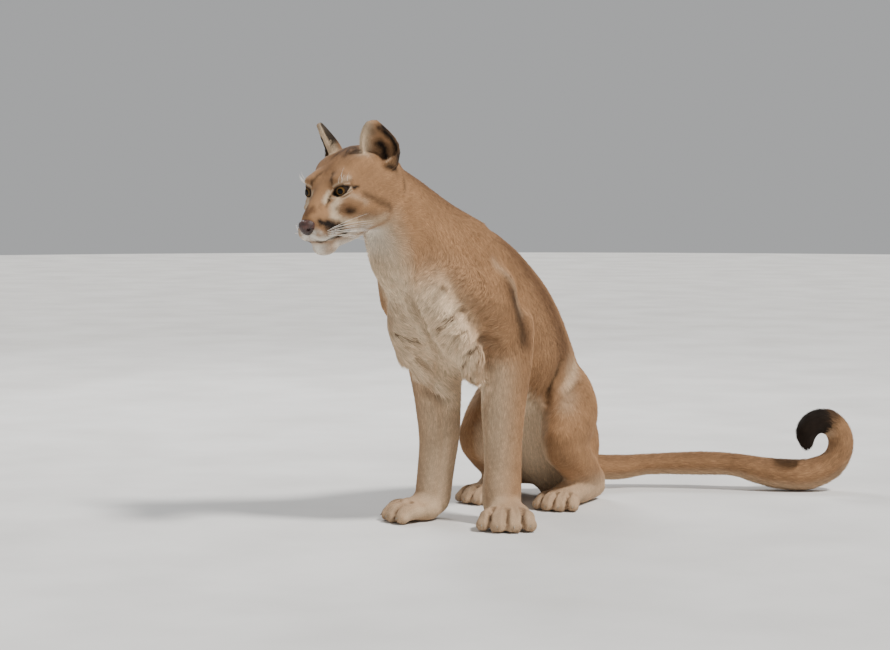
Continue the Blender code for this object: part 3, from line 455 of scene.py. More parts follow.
# Points of a tuft, from base to tip: lean of the normal, share of the tip's tone, place on its patch
TUFT_POINTS = [
    (-0.55, 0, 0, 0),
    (0.55, 0, 1, 0),
    (0, 0.1, 0.5, 0.5),
    (-0.55, 0.5, 0.1, 0.6),
    (0.55, 0.5, 0.9, 0.6),
    (0, 0.55, 0.5, 0.8),
    (0, 1, 0.5, 1),
]
SIDES_OF_BASE = [(0, 1, 4), (0, 4, 3), (1, 2, 5), (1, 5, 4), (2, 0, 3), (2, 3, 5)]
LONG_FACES = [(0, 2, 1), *SIDES_OF_BASE, (3, 4, 6), (4, 5, 6), (5, 3, 6)]
# For short and for long tufts: which points, which faces, and which of these look at the skin
TUFT_CHOSEN = ([0, 1, 2, 6], [0, 1, 2, 3, 4, 5, 6])
TUFT_FACES = ([(0, 2, 1), (0, 1, 3), (1, 2, 3), (2, 0, 3)], LONG_FACES)
TUFT_UNDER = ([1], [1, 2, 7])
# Number of waves in an uneven value, and what their sum is divided by
WAVES = 7
WAVES_SUM = 2.6

# Colours
TAWNY = (0.400, 0.222, 0.110)
BROWN = (0.125, 0.062, 0.030)
CREAM = (0.720, 0.560, 0.385)
WHITE = (0.840, 0.780, 0.680)
BLACK = (0.007, 0.005, 0.004)
# The iris colours are darkened past their own amber as painted shade of the brow
IRIS = (0.110, 0.056, 0.016)
IRIS_INNER = (0.170, 0.092, 0.026)
IRIS_RIM = (0.018, 0.011, 0.007)
EYE_WHITE = (0.030, 0.020, 0.015)
PUPIL = (0.003, 0.003, 0.003)
LEATHER = (0.095, 0.042, 0.034)
LEATHER_DARK = (0.022, 0.012, 0.010)
WHISKER_WHITE = (0.860, 0.840, 0.790)
HORN = (0.360, 0.310, 0.230)
HORN_DARK = (0.120, 0.090, 0.065)
FLOOR = (0.740, 0.735, 0.720)
FLOOR_DARK = (0.640, 0.632, 0.615)


def head_frame():
    """The head's frame, in drawn millimetres: x ahead, y to the left, z up."""
    place = Matrix.Translation(EYE_MIDDLE) @ Matrix.Rotation(math.radians(-90 - HEAD_TURN), 4, "Z")
    place = place @ Matrix.Rotation(math.radians(HEAD_DROP), 4, "Y")
    return place @ Matrix.Rotation(math.radians(HEAD_TILT), 4, "X")


def drawn_origin():
    """Where the drawn origin lies in the frame, from the place of the left eye."""
    low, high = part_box("eye_left")
    return (low + high) / 2 - (head_frame() @ Vector(EYE_CENTRE)) * SCALE


ORIGIN = drawn_origin()


def placed(point):
    """A drawn point in the frame."""
    return Vector(point) * SCALE + ORIGIN


def drawn(points):
    """Points of the frame in drawn millimetres."""
    return (points - np.array(ORIGIN)) / SCALE


def through(matrix, points):
    """Points after a matrix."""
    matrix = np.array(matrix)
    return points @ matrix[:3, :3].T + matrix[:3, 3]


def in_head(points):
    """Points of the frame in the head's own frame."""
    return through(head_frame().inverted(), drawn(points))


def halved(head):
    """Points in the head's frame, all brought to its left half."""
    return head * (1, 0, 1) + np.abs(head) * (0, 1, 0)


def twins(line):
    """A line of the left half of the body and its twin of the right half."""
    return [[(side * x, y, z) for x, y, z in line] for side in (1, -1)]


def head_twins(line):
    """The same for a line in the head's frame, in drawn millimetres."""
    place = head_frame()
    return [[tuple(place @ Vector((x, side * y, z))) for x, y, z in line] for side in (1, -1)]


def read_out(items, key, width, kind=float):
    """A value of every vertex, edge or triangle of a mesh, as rows."""
    found = np.empty(len(items) * width, kind)
    items.foreach_get(key, found)
    return found.reshape(-1, width)


def coordinates(mesh):
    return read_out(mesh.vertices, "co", 3)


def edge_pairs(mesh):
    return read_out(mesh.edges, "vertices", 2, np.int64)


def triangles(mesh):
    mesh.calc_loop_triangles()
    return read_out(mesh.loop_triangles, "vertices", 3, np.int64)


def set_coordinates(mesh, points):
    mesh.vertices.foreach_set("co", np.asarray(points, np.float32).ravel())
    mesh.update()


def written(mesh, name, values):
    """Writes a value of each vertex as an attribute."""
    layer = mesh.attributes.new(name, "FLOAT", "POINT")
    layer.data.foreach_set("value", np.asarray(values, np.float32))


def linked(name, data):
    """A new object of the scene."""
    item = bpy.data.objects.new(name, data)
    bpy.context.scene.collection.objects.link(item)
    return item


def shown(name, mesh):
    mesh.polygons.foreach_set("use_smooth", [True] * len(mesh.polygons))
    return linked(name, mesh)


def mesh_of(name, points, faces):
    mesh = bpy.data.meshes.new(name)
    mesh.from_pydata(points, [], faces)
    mesh.update()
    return mesh


def tree_of(points, faces):
    return BVHTree.FromPolygons([Vector(point) for point in points], faces.tolist())


def dressed(item, material, nodes=()):
    """Gives a piece its material and its place in the model."""
    item.data.materials.append(material)
    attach(item, "root")
    if nodes:
        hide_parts(*nodes)


def unit(vectors):
    return vectors / np.maximum(np.linalg.norm(vectors, axis=-1, keepdims=True), 1e-12)


def flat_on(normals, ways):
    """Ways turned to lie along the surface."""
    return unit(ways - normals * np.sum(ways * normals, axis=1, keepdims=True))


def smooth_step(values, low, high):
    share = np.clip((values - low) / (high - low), 0, 1)
    return share * share * (3 - 2 * share)


def soft(distance, reach):
    """1 at distance 0, fading to little at twice the reach."""
    return np.exp(-((distance / reach) ** 2) * 1.2)


def averaged(values, edges, rounds, share=0.5):
    """Values at points, each moved by share towards the mean of its neighbours, rounds times."""
    values = np.array(values, float).reshape(len(values), -1)
    both = np.concatenate([edges, edges[:, ::-1]])
    size = len(values)
    count = np.bincount(both[:, 0], minlength=size).clip(1)
    for _ in range(rounds):
        for column in range(values.shape[1]):
            total = np.bincount(both[:, 0], weights=values[both[:, 1], column], minlength=size)
            values[:, column] += share * (total / count - values[:, column])
    return values


def smooth_normals(mesh, edges, rounds):
    return unit(averaged(read_out(mesh.vertex_normals, "vector", 3), edges, rounds))


def waves(points, size, rng):
    """A smooth uneven value between about -1 and 1 that varies over lengths of the given size."""
    total = np.zeros(len(points))
    for _ in range(WAVES):
        way = rng.normal(0, 1, 3)
        way *= 2 * math.pi / size / np.linalg.norm(way) * rng.uniform(0.6, 1.4)
        total += np.sin(points @ way + rng.uniform(0, 2 * math.pi))
    return total / WAVES_SUM


def to_segments(points, path):
    """Distance of points to each segment of a path, and the share of the way along each."""
    path = np.array(path, float)
    found, shares = [], []
    for start, end in zip(path[:-1], path[1:]):
        way = end - start
        share = np.clip((points - start) @ way / (way @ way), 0, 1)
        found.append(np.linalg.norm(points - start - share[:, None] * way, axis=1))
        shares.append(share)
    return np.array(found), np.array(shares)


def off_path(points, path):
    """Distance of points to a path."""
    return to_segments(points, path)[0].min(axis=0)


def along_path(points, path):
    """Distance of points to a path, the nearest place of it and the share of its length before it."""
    found, shares = to_segments(points, path)
    path = np.array(path, float)
    steps = np.linalg.norm(np.diff(path, axis=0), axis=1)
    before = np.concatenate([[0], np.cumsum(steps)])
    nearest = np.argmin(found, axis=0)
    index = np.arange(len(points))
    share = (before[nearest] + shares[nearest, index] * steps[nearest]) / steps.sum()
    place = np.stack([np.interp(share, before / steps.sum(), path[:, k]) for k in range(3)], axis=1)
    return found[nearest, index], place, share


def node_mesh(names):
    """The named solids in one mesh, each swollen a little so that the thin cuts between them close."""
    points, faces, start = [], [], 0
    for name in names:
        bm = bmesh.new()
        bm.from_mesh(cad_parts[name].data)
        bmesh.ops.remove_doubles(bm, verts=bm.verts, dist=1e-6)
        bm.normal_update()
        points += [vert.co + vert.normal * SWELL for vert in bm.verts]
        faces += [[start + vert.index for vert in face.verts] for face in bm.faces]
        start += len(bm.verts)
        bm.free()
    return mesh_of("nodes", points, faces)


def remeshed(mesh, voxel):
    """The mesh after a voxel remesh."""
    item = shown("remesh", mesh)
    modifier = item.modifiers.new("voxels", "REMESH")
    modifier.mode = "VOXEL"
    modifier.voxel_size = voxel
    evaluated = item.evaluated_get(bpy.context.evaluated_depsgraph_get())
    result = bpy.data.meshes.new_from_object(evaluated)
    bpy.data.objects.remove(item)
    return result


def skull_plane():
    """Point and facing of the cut between head and neck, in the frame."""
    upper, lower = (placed(point) for point in SKULL_CUT)
    ahead = (upper - lower).cross(Vector(NECK_ACROSS)).normalized()
    if ahead.y > 0:
        ahead.negate()
    return (upper + lower) / 2, ahead


def on_head(points):
    """1 on the head, 0 on the neck and behind it."""
    point, ahead = skull_plane()
    return smooth_step((points - np.array(point)) @ np.array(ahead), *HEAD_BLEND)


def cut_half(mesh, point, ahead, keep_ahead):
    """The part of a mesh ahead of a plane, or behind it, as a bmesh."""
    bm = bmesh.new()
    bm.from_mesh(mesh)
    bmesh.ops.bisect_plane(
        bm,
        geom=bm.verts[:] + bm.edges[:] + bm.faces[:],
        plane_co=point,
        plane_no=ahead,
        clear_inner=keep_ahead,
        clear_outer=not keep_ahead,
    )
    bm.verts.index_update()
    return bm


def rim_order(bm, ahead):
    """The open rim of a cut mesh, in order of the turn round the cut's middle: indices and turns."""
    rim = [vert for vert in bm.verts if vert.is_boundary]
    middle = sum((vert.co for vert in rim), Vector()) / len(rim)
    side = ahead.orthogonal().normalized()
    other = ahead.cross(side)
    turns = [math.atan2((vert.co - middle).dot(other), (vert.co - middle).dot(side)) for vert in rim]
    order = np.argsort(turns)
    return [rim[i].index for i in order], [turns[i] for i in order]


def zipped(first, second):
    """Triangles between two rims, each a list of indices with their turns."""
    faces = []
    (a, turn_a), (b, turn_b) = first, second
    i = j = 0
    while i < len(a) or j < len(b):
        next_a = turn_a[i + 1] if i + 1 < len(a) else turn_a[0] + 2 * math.pi
        next_b = turn_b[j + 1] if j + 1 < len(b) else turn_b[0] + 2 * math.pi
        here_a, here_b = a[i % len(a)], b[j % len(b)]
        if j >= len(b) or (i < len(a) and next_a <= next_b):
            faces.append((here_a, a[(i + 1) % len(a)], here_b))
            i += 1
        else:
            faces.append((here_a, b[(j + 1) % len(b)], here_b))
            j += 1
    return faces


def joined_skin():
    """One closed skin: a fine mesh for the head joined to a coarser one for all the rest."""
    point, ahead = skull_plane()
    fine = remeshed(node_mesh(["neck"] + HEAD_FLESH), HEAD_VOXEL)
    coarse = remeshed(node_mesh(BODY_FLESH + HEAD_FLESH), BODY_VOXEL)
    head = cut_half(fine, point + ahead * SEAM_HALF, ahead, True)
    body = cut_half(coarse, point - ahead * SEAM_HALF, ahead, False)
    step = len(head.verts)
    indices, turns = rim_order(body, ahead)
    points = [vert.co for vert in head.verts] + [vert.co for vert in body.verts]
    faces = [[vert.index for vert in face.verts] for face in head.faces]
    faces += [[step + vert.index for vert in face.verts] for face in body.faces]
    faces += zipped(rim_order(head, ahead), ([step + i for i in indices], turns))
    mesh = mesh_of("skin", points, faces)
    bm = bmesh.new()
    bm.from_mesh(mesh)
    bmesh.ops.recalc_face_normals(bm, faces=bm.faces)
    bm.to_mesh(mesh)
    bm.free()
    return mesh


def coat_stations():
    """Places in drawn millimetres, and the length and depth of the coat at each."""
    rows = []
    for table, pair in ((HEAD_COAT, head_twins), (BODY_COAT, twins)):
        for place, length, depth in table:
            rows += [(point[0], length, depth) for point in pair([place])]
    shares, long, deep = np.array(TAIL_COAT).T
    for share, place in zip(np.linspace(0, 1, len(TAIL)), TAIL):
        rows.append((place, np.interp(share, shares, long), np.interp(share, shares, deep)))
    return np.array([row[0] for row in rows]), np.array([row[1:] for row in rows])


def coat_sizes(points):
    """Length and depth of the coat in metres at drawn points, between those of the nearest stations."""
    total, weight = np.zeros((len(points), 2)), np.zeros(len(points))
    for place, size in zip(*coat_stations()):
        share = 1 / (np.sum((points - place) ** 2, axis=1) + STATION_BLUR) ** 2
        total += share[:, None] * size
        weight += share
    return total / weight[:, None] * MM


def lies():
    """All lines of the lie of the coat, in drawn millimetres, each with its pull."""
    rows = [(line, 1.0) for line in MIDDLE_LIES] + [(line, CHEST_PULL) for line in CHEST_LIES]
    for line in HEAD_LIES:
        rows += [(twin, 1.0) for twin in head_twins(line)]
    for line in LEFT_LIES:
        rows += [(twin, 1.0) for twin in twins(line)]
    return rows


def lie_of_coat(points, normals, edges):
    """The way that the hair lies at each point of the skin, along its surface."""
    total = np.zeros_like(points)
    for line, pull in lies():
        ways = unit(np.diff(np.array(line, float), axis=0))
        for near, way in zip(to_segments(points, line)[0], ways):
            total += pull * way / (near[:, None] ** 2 / LIE_BLUR + 1) ** 2.5
    way = unit(total)
    for _ in range(LIE_ROUNDS):
        way = averaged(flat_on(normals, way), edges, 8)
    return flat_on(normals, way)


def paw_frame(place, turn):
    """A paw's frame in drawn millimetres: x ahead, y to its left."""
    return Matrix.Translation(place) @ Matrix.Rotation(math.radians(turn - 90), 4, "Z")


def toe_clefts():
    """Clefts between the toes of all paws, from the floor over their front to the knuckles."""
    reach, depth = TOE_CLEFT
    rows = []
    for place, turn, size in PAWS:
        paw = paw_frame(place, turn)
        for (side_a, reach_a), (side_b, reach_b) in zip(TOES[:-1], TOES[1:]):
            side, tip = (side_a + side_b) / 2, min(reach_a, reach_b)
            line = [paw @ (Vector((tip + x, side * y, z)) * size) for x, y, z in CLEFT_LINE]
            rows.append(([tuple(point) for point in line], reach * size, depth * size))
    return rows


def all_creases():
    """All clefts and creases in drawn millimetres: line, reach, depth and the darkness of the shade painted
    in them.
    """
    rows = [(*row, min(CREASE_SHADE * row[2], DARKEST_CREASE)) for row in CREASES + toe_clefts()]
    for line, reach, depth in HEAD_CREASES:
        rows += [(twin, reach, depth, NECK_SHADE) for twin in head_twins(line)]
    return rows


def eased(mesh, edges):
    """Points of the skin, eased on the body and at places of the head, and the head's push outwards."""
    points = averaged(coordinates(mesh), edges, 2, 0.4)
    lid = lid_distance(halved(in_head(points)))[0]
    near = on_head(points)
    points = averaged(points, edges, BODY_EASE, 0.5 * (1 - near) * smooth_step(points[:, 2], *PAWS_KEPT))
    half = halved(in_head(points))
    ring = smooth_step(lid, 2, 5) * (1 - smooth_step(lid, 14, 20))
    for centre, reach in EASED:
        ring = np.maximum(ring, soft(np.linalg.norm(half - centre, axis=1), reach) * smooth_step(lid, 2, 5))
    ring = np.where(ring * near > 0.001, ring * near, 0)
    touched = edges[np.maximum(ring[edges[:, 0]], ring[edges[:, 1]]) > 0]
    points = averaged(points, touched, HEAD_EASE, 0.5 * ring)
    push = sum(way * soft(np.linalg.norm(half - centre, axis=1), reach) for centre, reach, way in PUSHED)
    return points, near * push


def coat_depth_moved(mesh, edges):
    """Eases the skin, presses its creases and sinks it by the depth of its coat; gives the coat's sizes."""
    points, push = eased(mesh, edges)
    set_coordinates(mesh, points)
    normals = smooth_normals(mesh, edges, 4)
    spots = drawn(points)
    sizes = coat_sizes(spots)
    relief = -push
    for line, reach, depth, _ in all_creases():
        found = off_path(spots, line)
        relief += depth * (soft(found, reach) - RIM_SHARE * soft(found - RIM_PLACE * reach, reach))
    under = np.zeros(len(spots))
    for line, height in FOLDS:
        found, place, _ = along_path(spots, line)
        above = spots[:, 2] > place[:, 2]
        relief += height * np.where(above, -soft(found, FOLD_ABOVE), 0.8 * soft(found, FOLD_BELOW))
        under = np.maximum(under, np.where(above, 0, soft(found, 1.5 * FOLD_BELOW)))
    points = points - normals * (sizes[:, 1] + MM * relief)[:, None]
    points[:, 2] = np.maximum(points[:, 2], SKIN_OFF_FLOOR)
    set_coordinates(mesh, points)
    fringe = np.max([soft(off_path(spots, line), FRINGE_REACH) for line in FRINGES], axis=0)
    cleft = np.max([soft(off_path(spots, line), 3 * reach) for line, reach, _ in CREASES], axis=0)
    sizes[:, 0] *= (1 + FRINGE_LONGER * fringe) * (1 - CLEFT_SHORTER * cleft * (1 - fringe))
    sizes[:, 0] *= 1 - FOLD_SHORTER * under
    sizes[:, 1] *= 1 + FRINGE_DEEPER * fringe
    return sizes


def strongest(points, marks):
    """The strongest of several marks at each point."""
    best = np.zeros(len(points))
    for line, reach, strength in marks:
        best = np.maximum(best, strength * soft(off_path(points, line), reach))
    return best


def gaze_frame(side):
    """The frame of an eye in that of the head, x along its gaze."""
    x, y, z = EYE_CENTRE
    turn, rise = math.radians(side * EYE_TURN_OUT), math.radians(-EYE_RISE_OF_GAZE)
    place = Matrix.Translation((x, side * y, z)) @ Matrix.Rotation(turn, 4, "Z")
    return place @ Matrix.Rotation(rise, 4, "Y")


def lid_distance(points):
    """Distance from the edge of the left eye's lids, seen along its gaze, with steps across and up."""
    local = through(gaze_frame(1).inverted(), points)
    slant = math.radians(LID_SLANT)
    across = local[:, 1] * math.cos(slant) + local[:, 2] * math.sin(slant)
    up = local[:, 2] * math.cos(slant) - local[:, 1] * math.sin(slant)
    height = np.where(up > 0, LID_RISE, LID_FALL)
    round_about = np.sqrt((across / LID_HALF_WIDTH) ** 2 + (up / height) ** 2)
    distance = (round_about - 1) * np.where(np.abs(across) > LID_HALF_WIDTH * 0.8, LID_HALF_WIDTH, height)
    return np.where(local[:, 0] > 0, distance, FAR), across, up


def wandered(points):
    """Points moved a little by an uneven field, so that markings get uneven edges."""
    rng = np.random.default_rng(SEED)
    broad, fine = WANDER_SIZES
    shift = [waves(points, broad, rng) + 0.5 * waves(points, fine, rng) for _ in range(3)]
    return points + MARK_WANDER * np.stack(shift, axis=1)


def head_marks_and_painted_light(points, normals):
    """White, pale, brown and dark markings of the head at points of the frame, with a painted highlight on
    the lower lids and painted shade in the neck crease.
    """
    head = in_head(points)
    even = halved(head)
    half = wandered(even)
    tables = (WHITE_MARKS, PALE_MARKS, BROWN_MARKS, DARK_MARKS_AND_NECK_SHADE)
    white, pale, brown, dark = (strongest(half, marks) for marks in tables)
    lid, across, up = lid_distance(even)
    upper = 1 - smooth_step(-up, -2, 2)
    lower = (1 - upper) * smooth_step(across, -4, 4)
    line, ring, shade = (strength * soft(lid - off, reach) for off, reach, strength in LID_MARKS_AND_HIGHLIGHT)
    # The pale line on the lower lid is a painted highlight of its rim
    pale = np.maximum(pale, np.maximum(ring, lower * line))
    dark = np.maximum(dark * (1 - lower * line), lower * shade)
    dark = np.maximum(dark, LID_RIM_DARK * soft(np.maximum(lid - 1, 0), 1.8 + 3 * upper))
    dark = np.maximum(dark, strongest(half, LIP_MARKS))
    mirror = np.where(head[:, 1:2] > 0, 1, (1, -1, 1))
    cup = np.sum(normals @ np.array(head_frame().to_3x3()) * mirror * EAR_FACING, axis=1)
    back = smooth_step(half[:, 2], *EAR_FOOT) * smooth_step(-cup, -0.05, 0.45)
    dark = np.maximum(dark, EAR_BACK_DARK * back)
    tuft = soft(off_path(half, EAR_TUFT), EAR_TUFT_REACH)
    return np.stack([white, np.maximum(pale, tuft), brown, dark * (1 - tuft)]) * on_head(points)


def body_marks_and_painted_light(points, normals):
    """The same markings of all the rest, with painted shade in creases, toe clefts, under the chest folds
    and behind the upper arms, and a painted highlight on the flank fold.
    """
    body = drawn(points)
    even = body * (0, 1, 1) + np.abs(body) * (1, 0, 0)
    height = body[:, 2]
    on_tail = smooth_step(body[:, 1], *TAIL_FROM)
    trunk = 1 - on_tail
    dark = 0.97 * on_tail * smooth_step(along_path(body, TAIL)[2], *TAIL_DARK)
    # Painted shade behind the upper arms
    dark = np.maximum(dark, strongest(even, BODY_PAINTED_SHADE))
    # Painted shade in the clefts between toes, in the creases of chest, arm and flank and in the neck
    # crease
    for line, reach, _, shade in all_creases():
        dark = np.maximum(dark, shade * soft(off_path(body, line), reach * 0.8))
    # Painted shadow below the lower edges of the chest folds
    for line, step in FOLDS:
        found, place, _ = along_path(body, line)
        below = smooth_step(place[:, 2] - height, 4, 14)
        dark = np.maximum(dark, FOLD_SHADE * step * below * soft(found, 2 * FOLD_BELOW))
    spine, throat, belly = (off_path(body, line) for line in MIDDLE_LIES[:3])
    brown = np.maximum(1 - smooth_step(spine, *SPINE_BROWN), strongest(even, BODY_BROWN_AND_SHADE)) * trunk
    brown = np.maximum(brown, 0.5 * on_tail * smooth_step(normals[:, 2], 0.2, 0.9))
    pale = np.maximum(strongest(even, BODY_PALE_AND_HIGHLIGHT), 0.9 * (1 - smooth_step(throat, *THROAT_PALE)))
    pale = np.maximum(pale, 0.9 * (1 - smooth_step(belly, *BELLY_PALE)))
    inner = smooth_step(-normals[:, 0] * np.sign(body[:, 0]), 0.1, 0.8)
    pale = np.maximum(pale, 0.6 * inner * (1 - smooth_step(height, 300, 360)))
    pale = np.maximum(pale, 0.45 * (1 - smooth_step(height, 30, 90))) * trunk
    pale = np.maximum(pale, 0.35 * on_tail * smooth_step(-normals[:, 2], 0.1, 0.8))
    white = 0.7 * (1 - smooth_step(throat, *THROAT_WHITE)) * smooth_step(height, 560, 640)
    return np.stack([white, pale * (1 - dark), brown, dark]) * (1 - on_head(points))


def marks_and_painted_light(points, normals):
    """Strength of each marking of the coat at points of the frame, painted shade and highlights included.
    """
    rows = head_marks_and_painted_light(points, normals) + body_marks_and_painted_light(points, normals)
    return dict(zip(("white", "pale", "brown", "dark"), rows))


def unwrapped(mesh):
    """A coarse copy of the skin with its own unwrap: points, triangles and the place of each corner."""
    item = shown("unwrap", remeshed(mesh.copy(), UNWRAP_VOXEL))
    bpy.context.view_layer.objects.active = item
    item.select_set(True)
    bpy.ops.object.mode_set(mode="EDIT")
    bpy.ops.mesh.select_all(action="SELECT")
    bpy.ops.uv.smart_project(angle_limit=math.radians(66), island_margin=0.004)
    bpy.ops.object.mode_set(mode="OBJECT")
    coarse = item.data
    corners = triangles(coarse)
    loops = read_out(coarse.loop_triangles, "loops", 3, np.int64)
    places = read_out(coarse.uv_layers.active.data, "uv", 2)
    result = coordinates(coarse), corners, places[loops]
    bpy.data.objects.remove(item)
    return result


def spots_on_unwrap(points, unwrap):
    """The place on the unwrap of the spot of the skin nearest to each point."""
    verts, corners, places = unwrap
    tree = tree_of(verts, corners)
    found = np.empty((len(points), 2))
    for i, point in enumerate(points):
        spot, _, face, _ = tree.find_nearest(Vector(point))
        a, b, c = verts[corners[face]]
        ab, ac, ap = b - a, c - a, np.array(spot) - a
        d00, d01, d11, d20, d21 = ab @ ab, ab @ ac, ac @ ac, ap @ ab, ap @ ac
        scale = max(d00 * d11 - d01 * d01, 1e-18)
        v, w = (d11 * d20 - d01 * d21) / scale, (d00 * d21 - d01 * d20) / scale
        found[i] = places[face].T @ (1 - v - w, v, w)
    return found


def scattered(points, corners, count, weights, rng):
    """Roots spread over triangles by weight: the corners round each and its shares of them."""
    a, b, c = (points[corners[:, k]] for k in range(3))
    area = np.linalg.norm(np.cross(b - a, c - a), axis=1) / 2
    total = np.cumsum(area * weights[corners].mean(axis=1))
    picks = (np.arange(count) + rng.random(count)) / count * total[-1]
    face = np.searchsorted(total, picks).clip(0, len(corners) - 1)
    r, q = np.sqrt(rng.random(count)), rng.random(count)
    return corners[face], np.stack([1 - r, r * (1 - q), r * q], axis=1)


def tuft_shapes(root, normal, way, size, lift, long):
    """Points of tapered three-sided tufts: a base, a middle ring when long, and a tip."""
    side = np.cross(normal, way)
    length, width = size[:, :1], size[:, 1:] / 2
    base = root - normal * TUFT_ROOT
    ridge = normal * width * RIDGE
    ring = np.stack([-side * width, side * width, ridge], axis=1)
    out = way * np.cos(lift) + normal * np.sin(lift)
    if not long:
        return np.concatenate([base[:, None] + ring, (base + out * length)[:, None]], axis=1)
    middle = base + out * length * 0.5 + normal * length * MIDDLE_RISE
    down = way * np.cos(lift * TUFT_BEND) + normal * np.sin(lift * TUFT_BEND)
    tip = middle + down * length * 0.5
    rings = [base[:, None] + ring, middle[:, None] + ring * MIDDLE_WIDTH, tip[:, None]]
    return np.concatenate(rings, axis=1)


def tufts_at(skin, count, weights, long, rng):
    """Tufts rooted in the skin: points and normals of each, with its markings, and the roots."""
    points, corners, values = skin
    corners, shares = scattered(points, corners, count, weights, rng)
    found = np.einsum("ij,ijk->ik", shares, values[corners])
    root, normal, way = found[:, :3], unit(found[:, 3:6]), unit(found[:, 6:9])
    length, depth, wide = found[:, 9:].T
    lock = waves(root, LOCK_LENGTH, rng)
    turn = (rng.normal(0, TUFT_TURN, count) + LOCK_TURN * waves(root, 2 * LOCK_LENGTH, rng))[:, None]
    way = flat_on(normal, way)
    way = unit(way * np.cos(turn) + np.cross(normal, way) * np.sin(turn))
    length = length * rng.uniform(*TUFT_LENGTHS, count) * (1 + LOCK_LENGTHENING * lock)
    wide = wide * rng.uniform(*TUFT_BREADTHS, count)
    lift = np.arcsin(np.clip(depth * rng.uniform(*TUFT_RISES, count) / length, *TUFT_LIFTS))[:, None]
    shape = tuft_shapes(root, normal, way, np.stack([length, wide], axis=1), lift, long)
    shape[..., 2] = np.maximum(shape[..., 2], TUFT_OFF_FLOOR)
    lean, tip = np.array(TUFT_POINTS)[TUFT_CHOSEN[long], :2].T
    side = np.cross(normal, way)
    turned = unit(normal[:, None] + side[:, None] * lean[None, :, None])
    near = root + rng.normal(0, 1, (count, 3)) * (length * MARK_SPREAD)[:, None]
    each = {key: value[:, None] for key, value in marks_and_painted_light(near, normal).items()}
    each["tone"] = np.clip(rng.normal(0.5, TONE_SPREAD, count) + LOCK_TONE * lock, 0, 1)[:, None]
    each["tip"] = tip[None]
    marks = {key: np.broadcast_to(value, shape.shape[:2]) for key, value in each.items()}
    return root, shape, turned, marks


def coat_mesh(name, shape, turned, marks, spots, long):
    """A piece of many tufts from arrays of their points, normals, markings and places on the unwrap."""
    count, each = shape.shape[:2]
    pattern = np.array(TUFT_FACES[long])
    faces = (pattern[None] + (np.arange(count) * each)[:, None, None]).reshape(-1, 3)
    flat = faces.reshape(-1)
    mesh = bpy.data.meshes.new(name)
    mesh.vertices.add(count * each)
    mesh.loops.add(len(flat))
    mesh.polygons.add(len(faces))
    mesh.vertices.foreach_set("co", shape.reshape(-1).astype(np.float32))
    mesh.polygons.foreach_set("loop_start", np.arange(len(faces), dtype=np.int32) * 3)
    mesh.loops.foreach_set("vertex_index", flat.astype(np.int32))
    mesh.update(calc_edges=True)
    for key, values in marks.items():
        written(mesh, key, values.reshape(-1))
    patch = spots[:, None, :] + (np.array(TUFT_POINTS)[TUFT_CHOSEN[long], 2:] - 0.5) * PATCH
    layer = mesh.uv_layers.new(name="OFBake")
    layer.data.foreach_set("uv", patch.reshape(-1, 2)[flat].reshape(-1).astype(np.float32))
    item = shown(name, mesh)
    corners = turned.reshape(-1, 3)[flat].reshape(count, len(pattern), 3, 3)
    corners[:, TUFT_UNDER[long]] *= -1
    mesh.normals_split_custom_set(corners.reshape(-1, 3).tolist())
    return item


def make_coat(mesh, sizes, ways, unwrap, material):
    """The coat as pieces of solid tufts, rooted in the skin."""
    rng = np.random.default_rng(SEED)
    points = coordinates(mesh)
    long = sizes[:, :1]
    width = np.clip(long * TUFT_SLENDERNESS, *TUFT_WIDTHS)
    normals = smooth_normals(mesh, edge_pairs(mesh), 3)
    values = np.concatenate([points, normals, ways, sizes, width], axis=1)
    skin = points, triangles(mesh), values
    bare = (lid_distance(halved(in_head(points)))[0] < LID_BARE) | (points[:, 2] < SOLE_BARE)
    weights = np.where(bare, 0, 1 / (long * width)[:, 0])
    share = smooth_step(sizes[:, 0], *LONG_FROM)
    number = 0
    for is_long, count, chosen in ((False, TUFTS, 1 - FEWER_SHORT * share), (True, LONG_TUFTS, share)):
        root, *parts, marks = tufts_at(skin, count, weights * chosen, is_long, rng)
        spots = spots_on_unwrap(root, unwrap)
        order = np.lexsort((root[:, 1], np.round(root[:, 2] / PIECE_HEIGHT)))
        step = PIECE_TRIANGLES // len(TUFT_FACES[is_long])
        for start in range(0, count, step):
            pick = order[start : start + step]
            shape, turned = (part[pick] for part in parts)
            some = {key: value[pick] for key, value in marks.items()}
            name = f"coat_{'long' if is_long else 'short'}_{number}"
            dressed(coat_mesh(name, shape, turned, some, spots[pick], is_long), material)
            number += 1


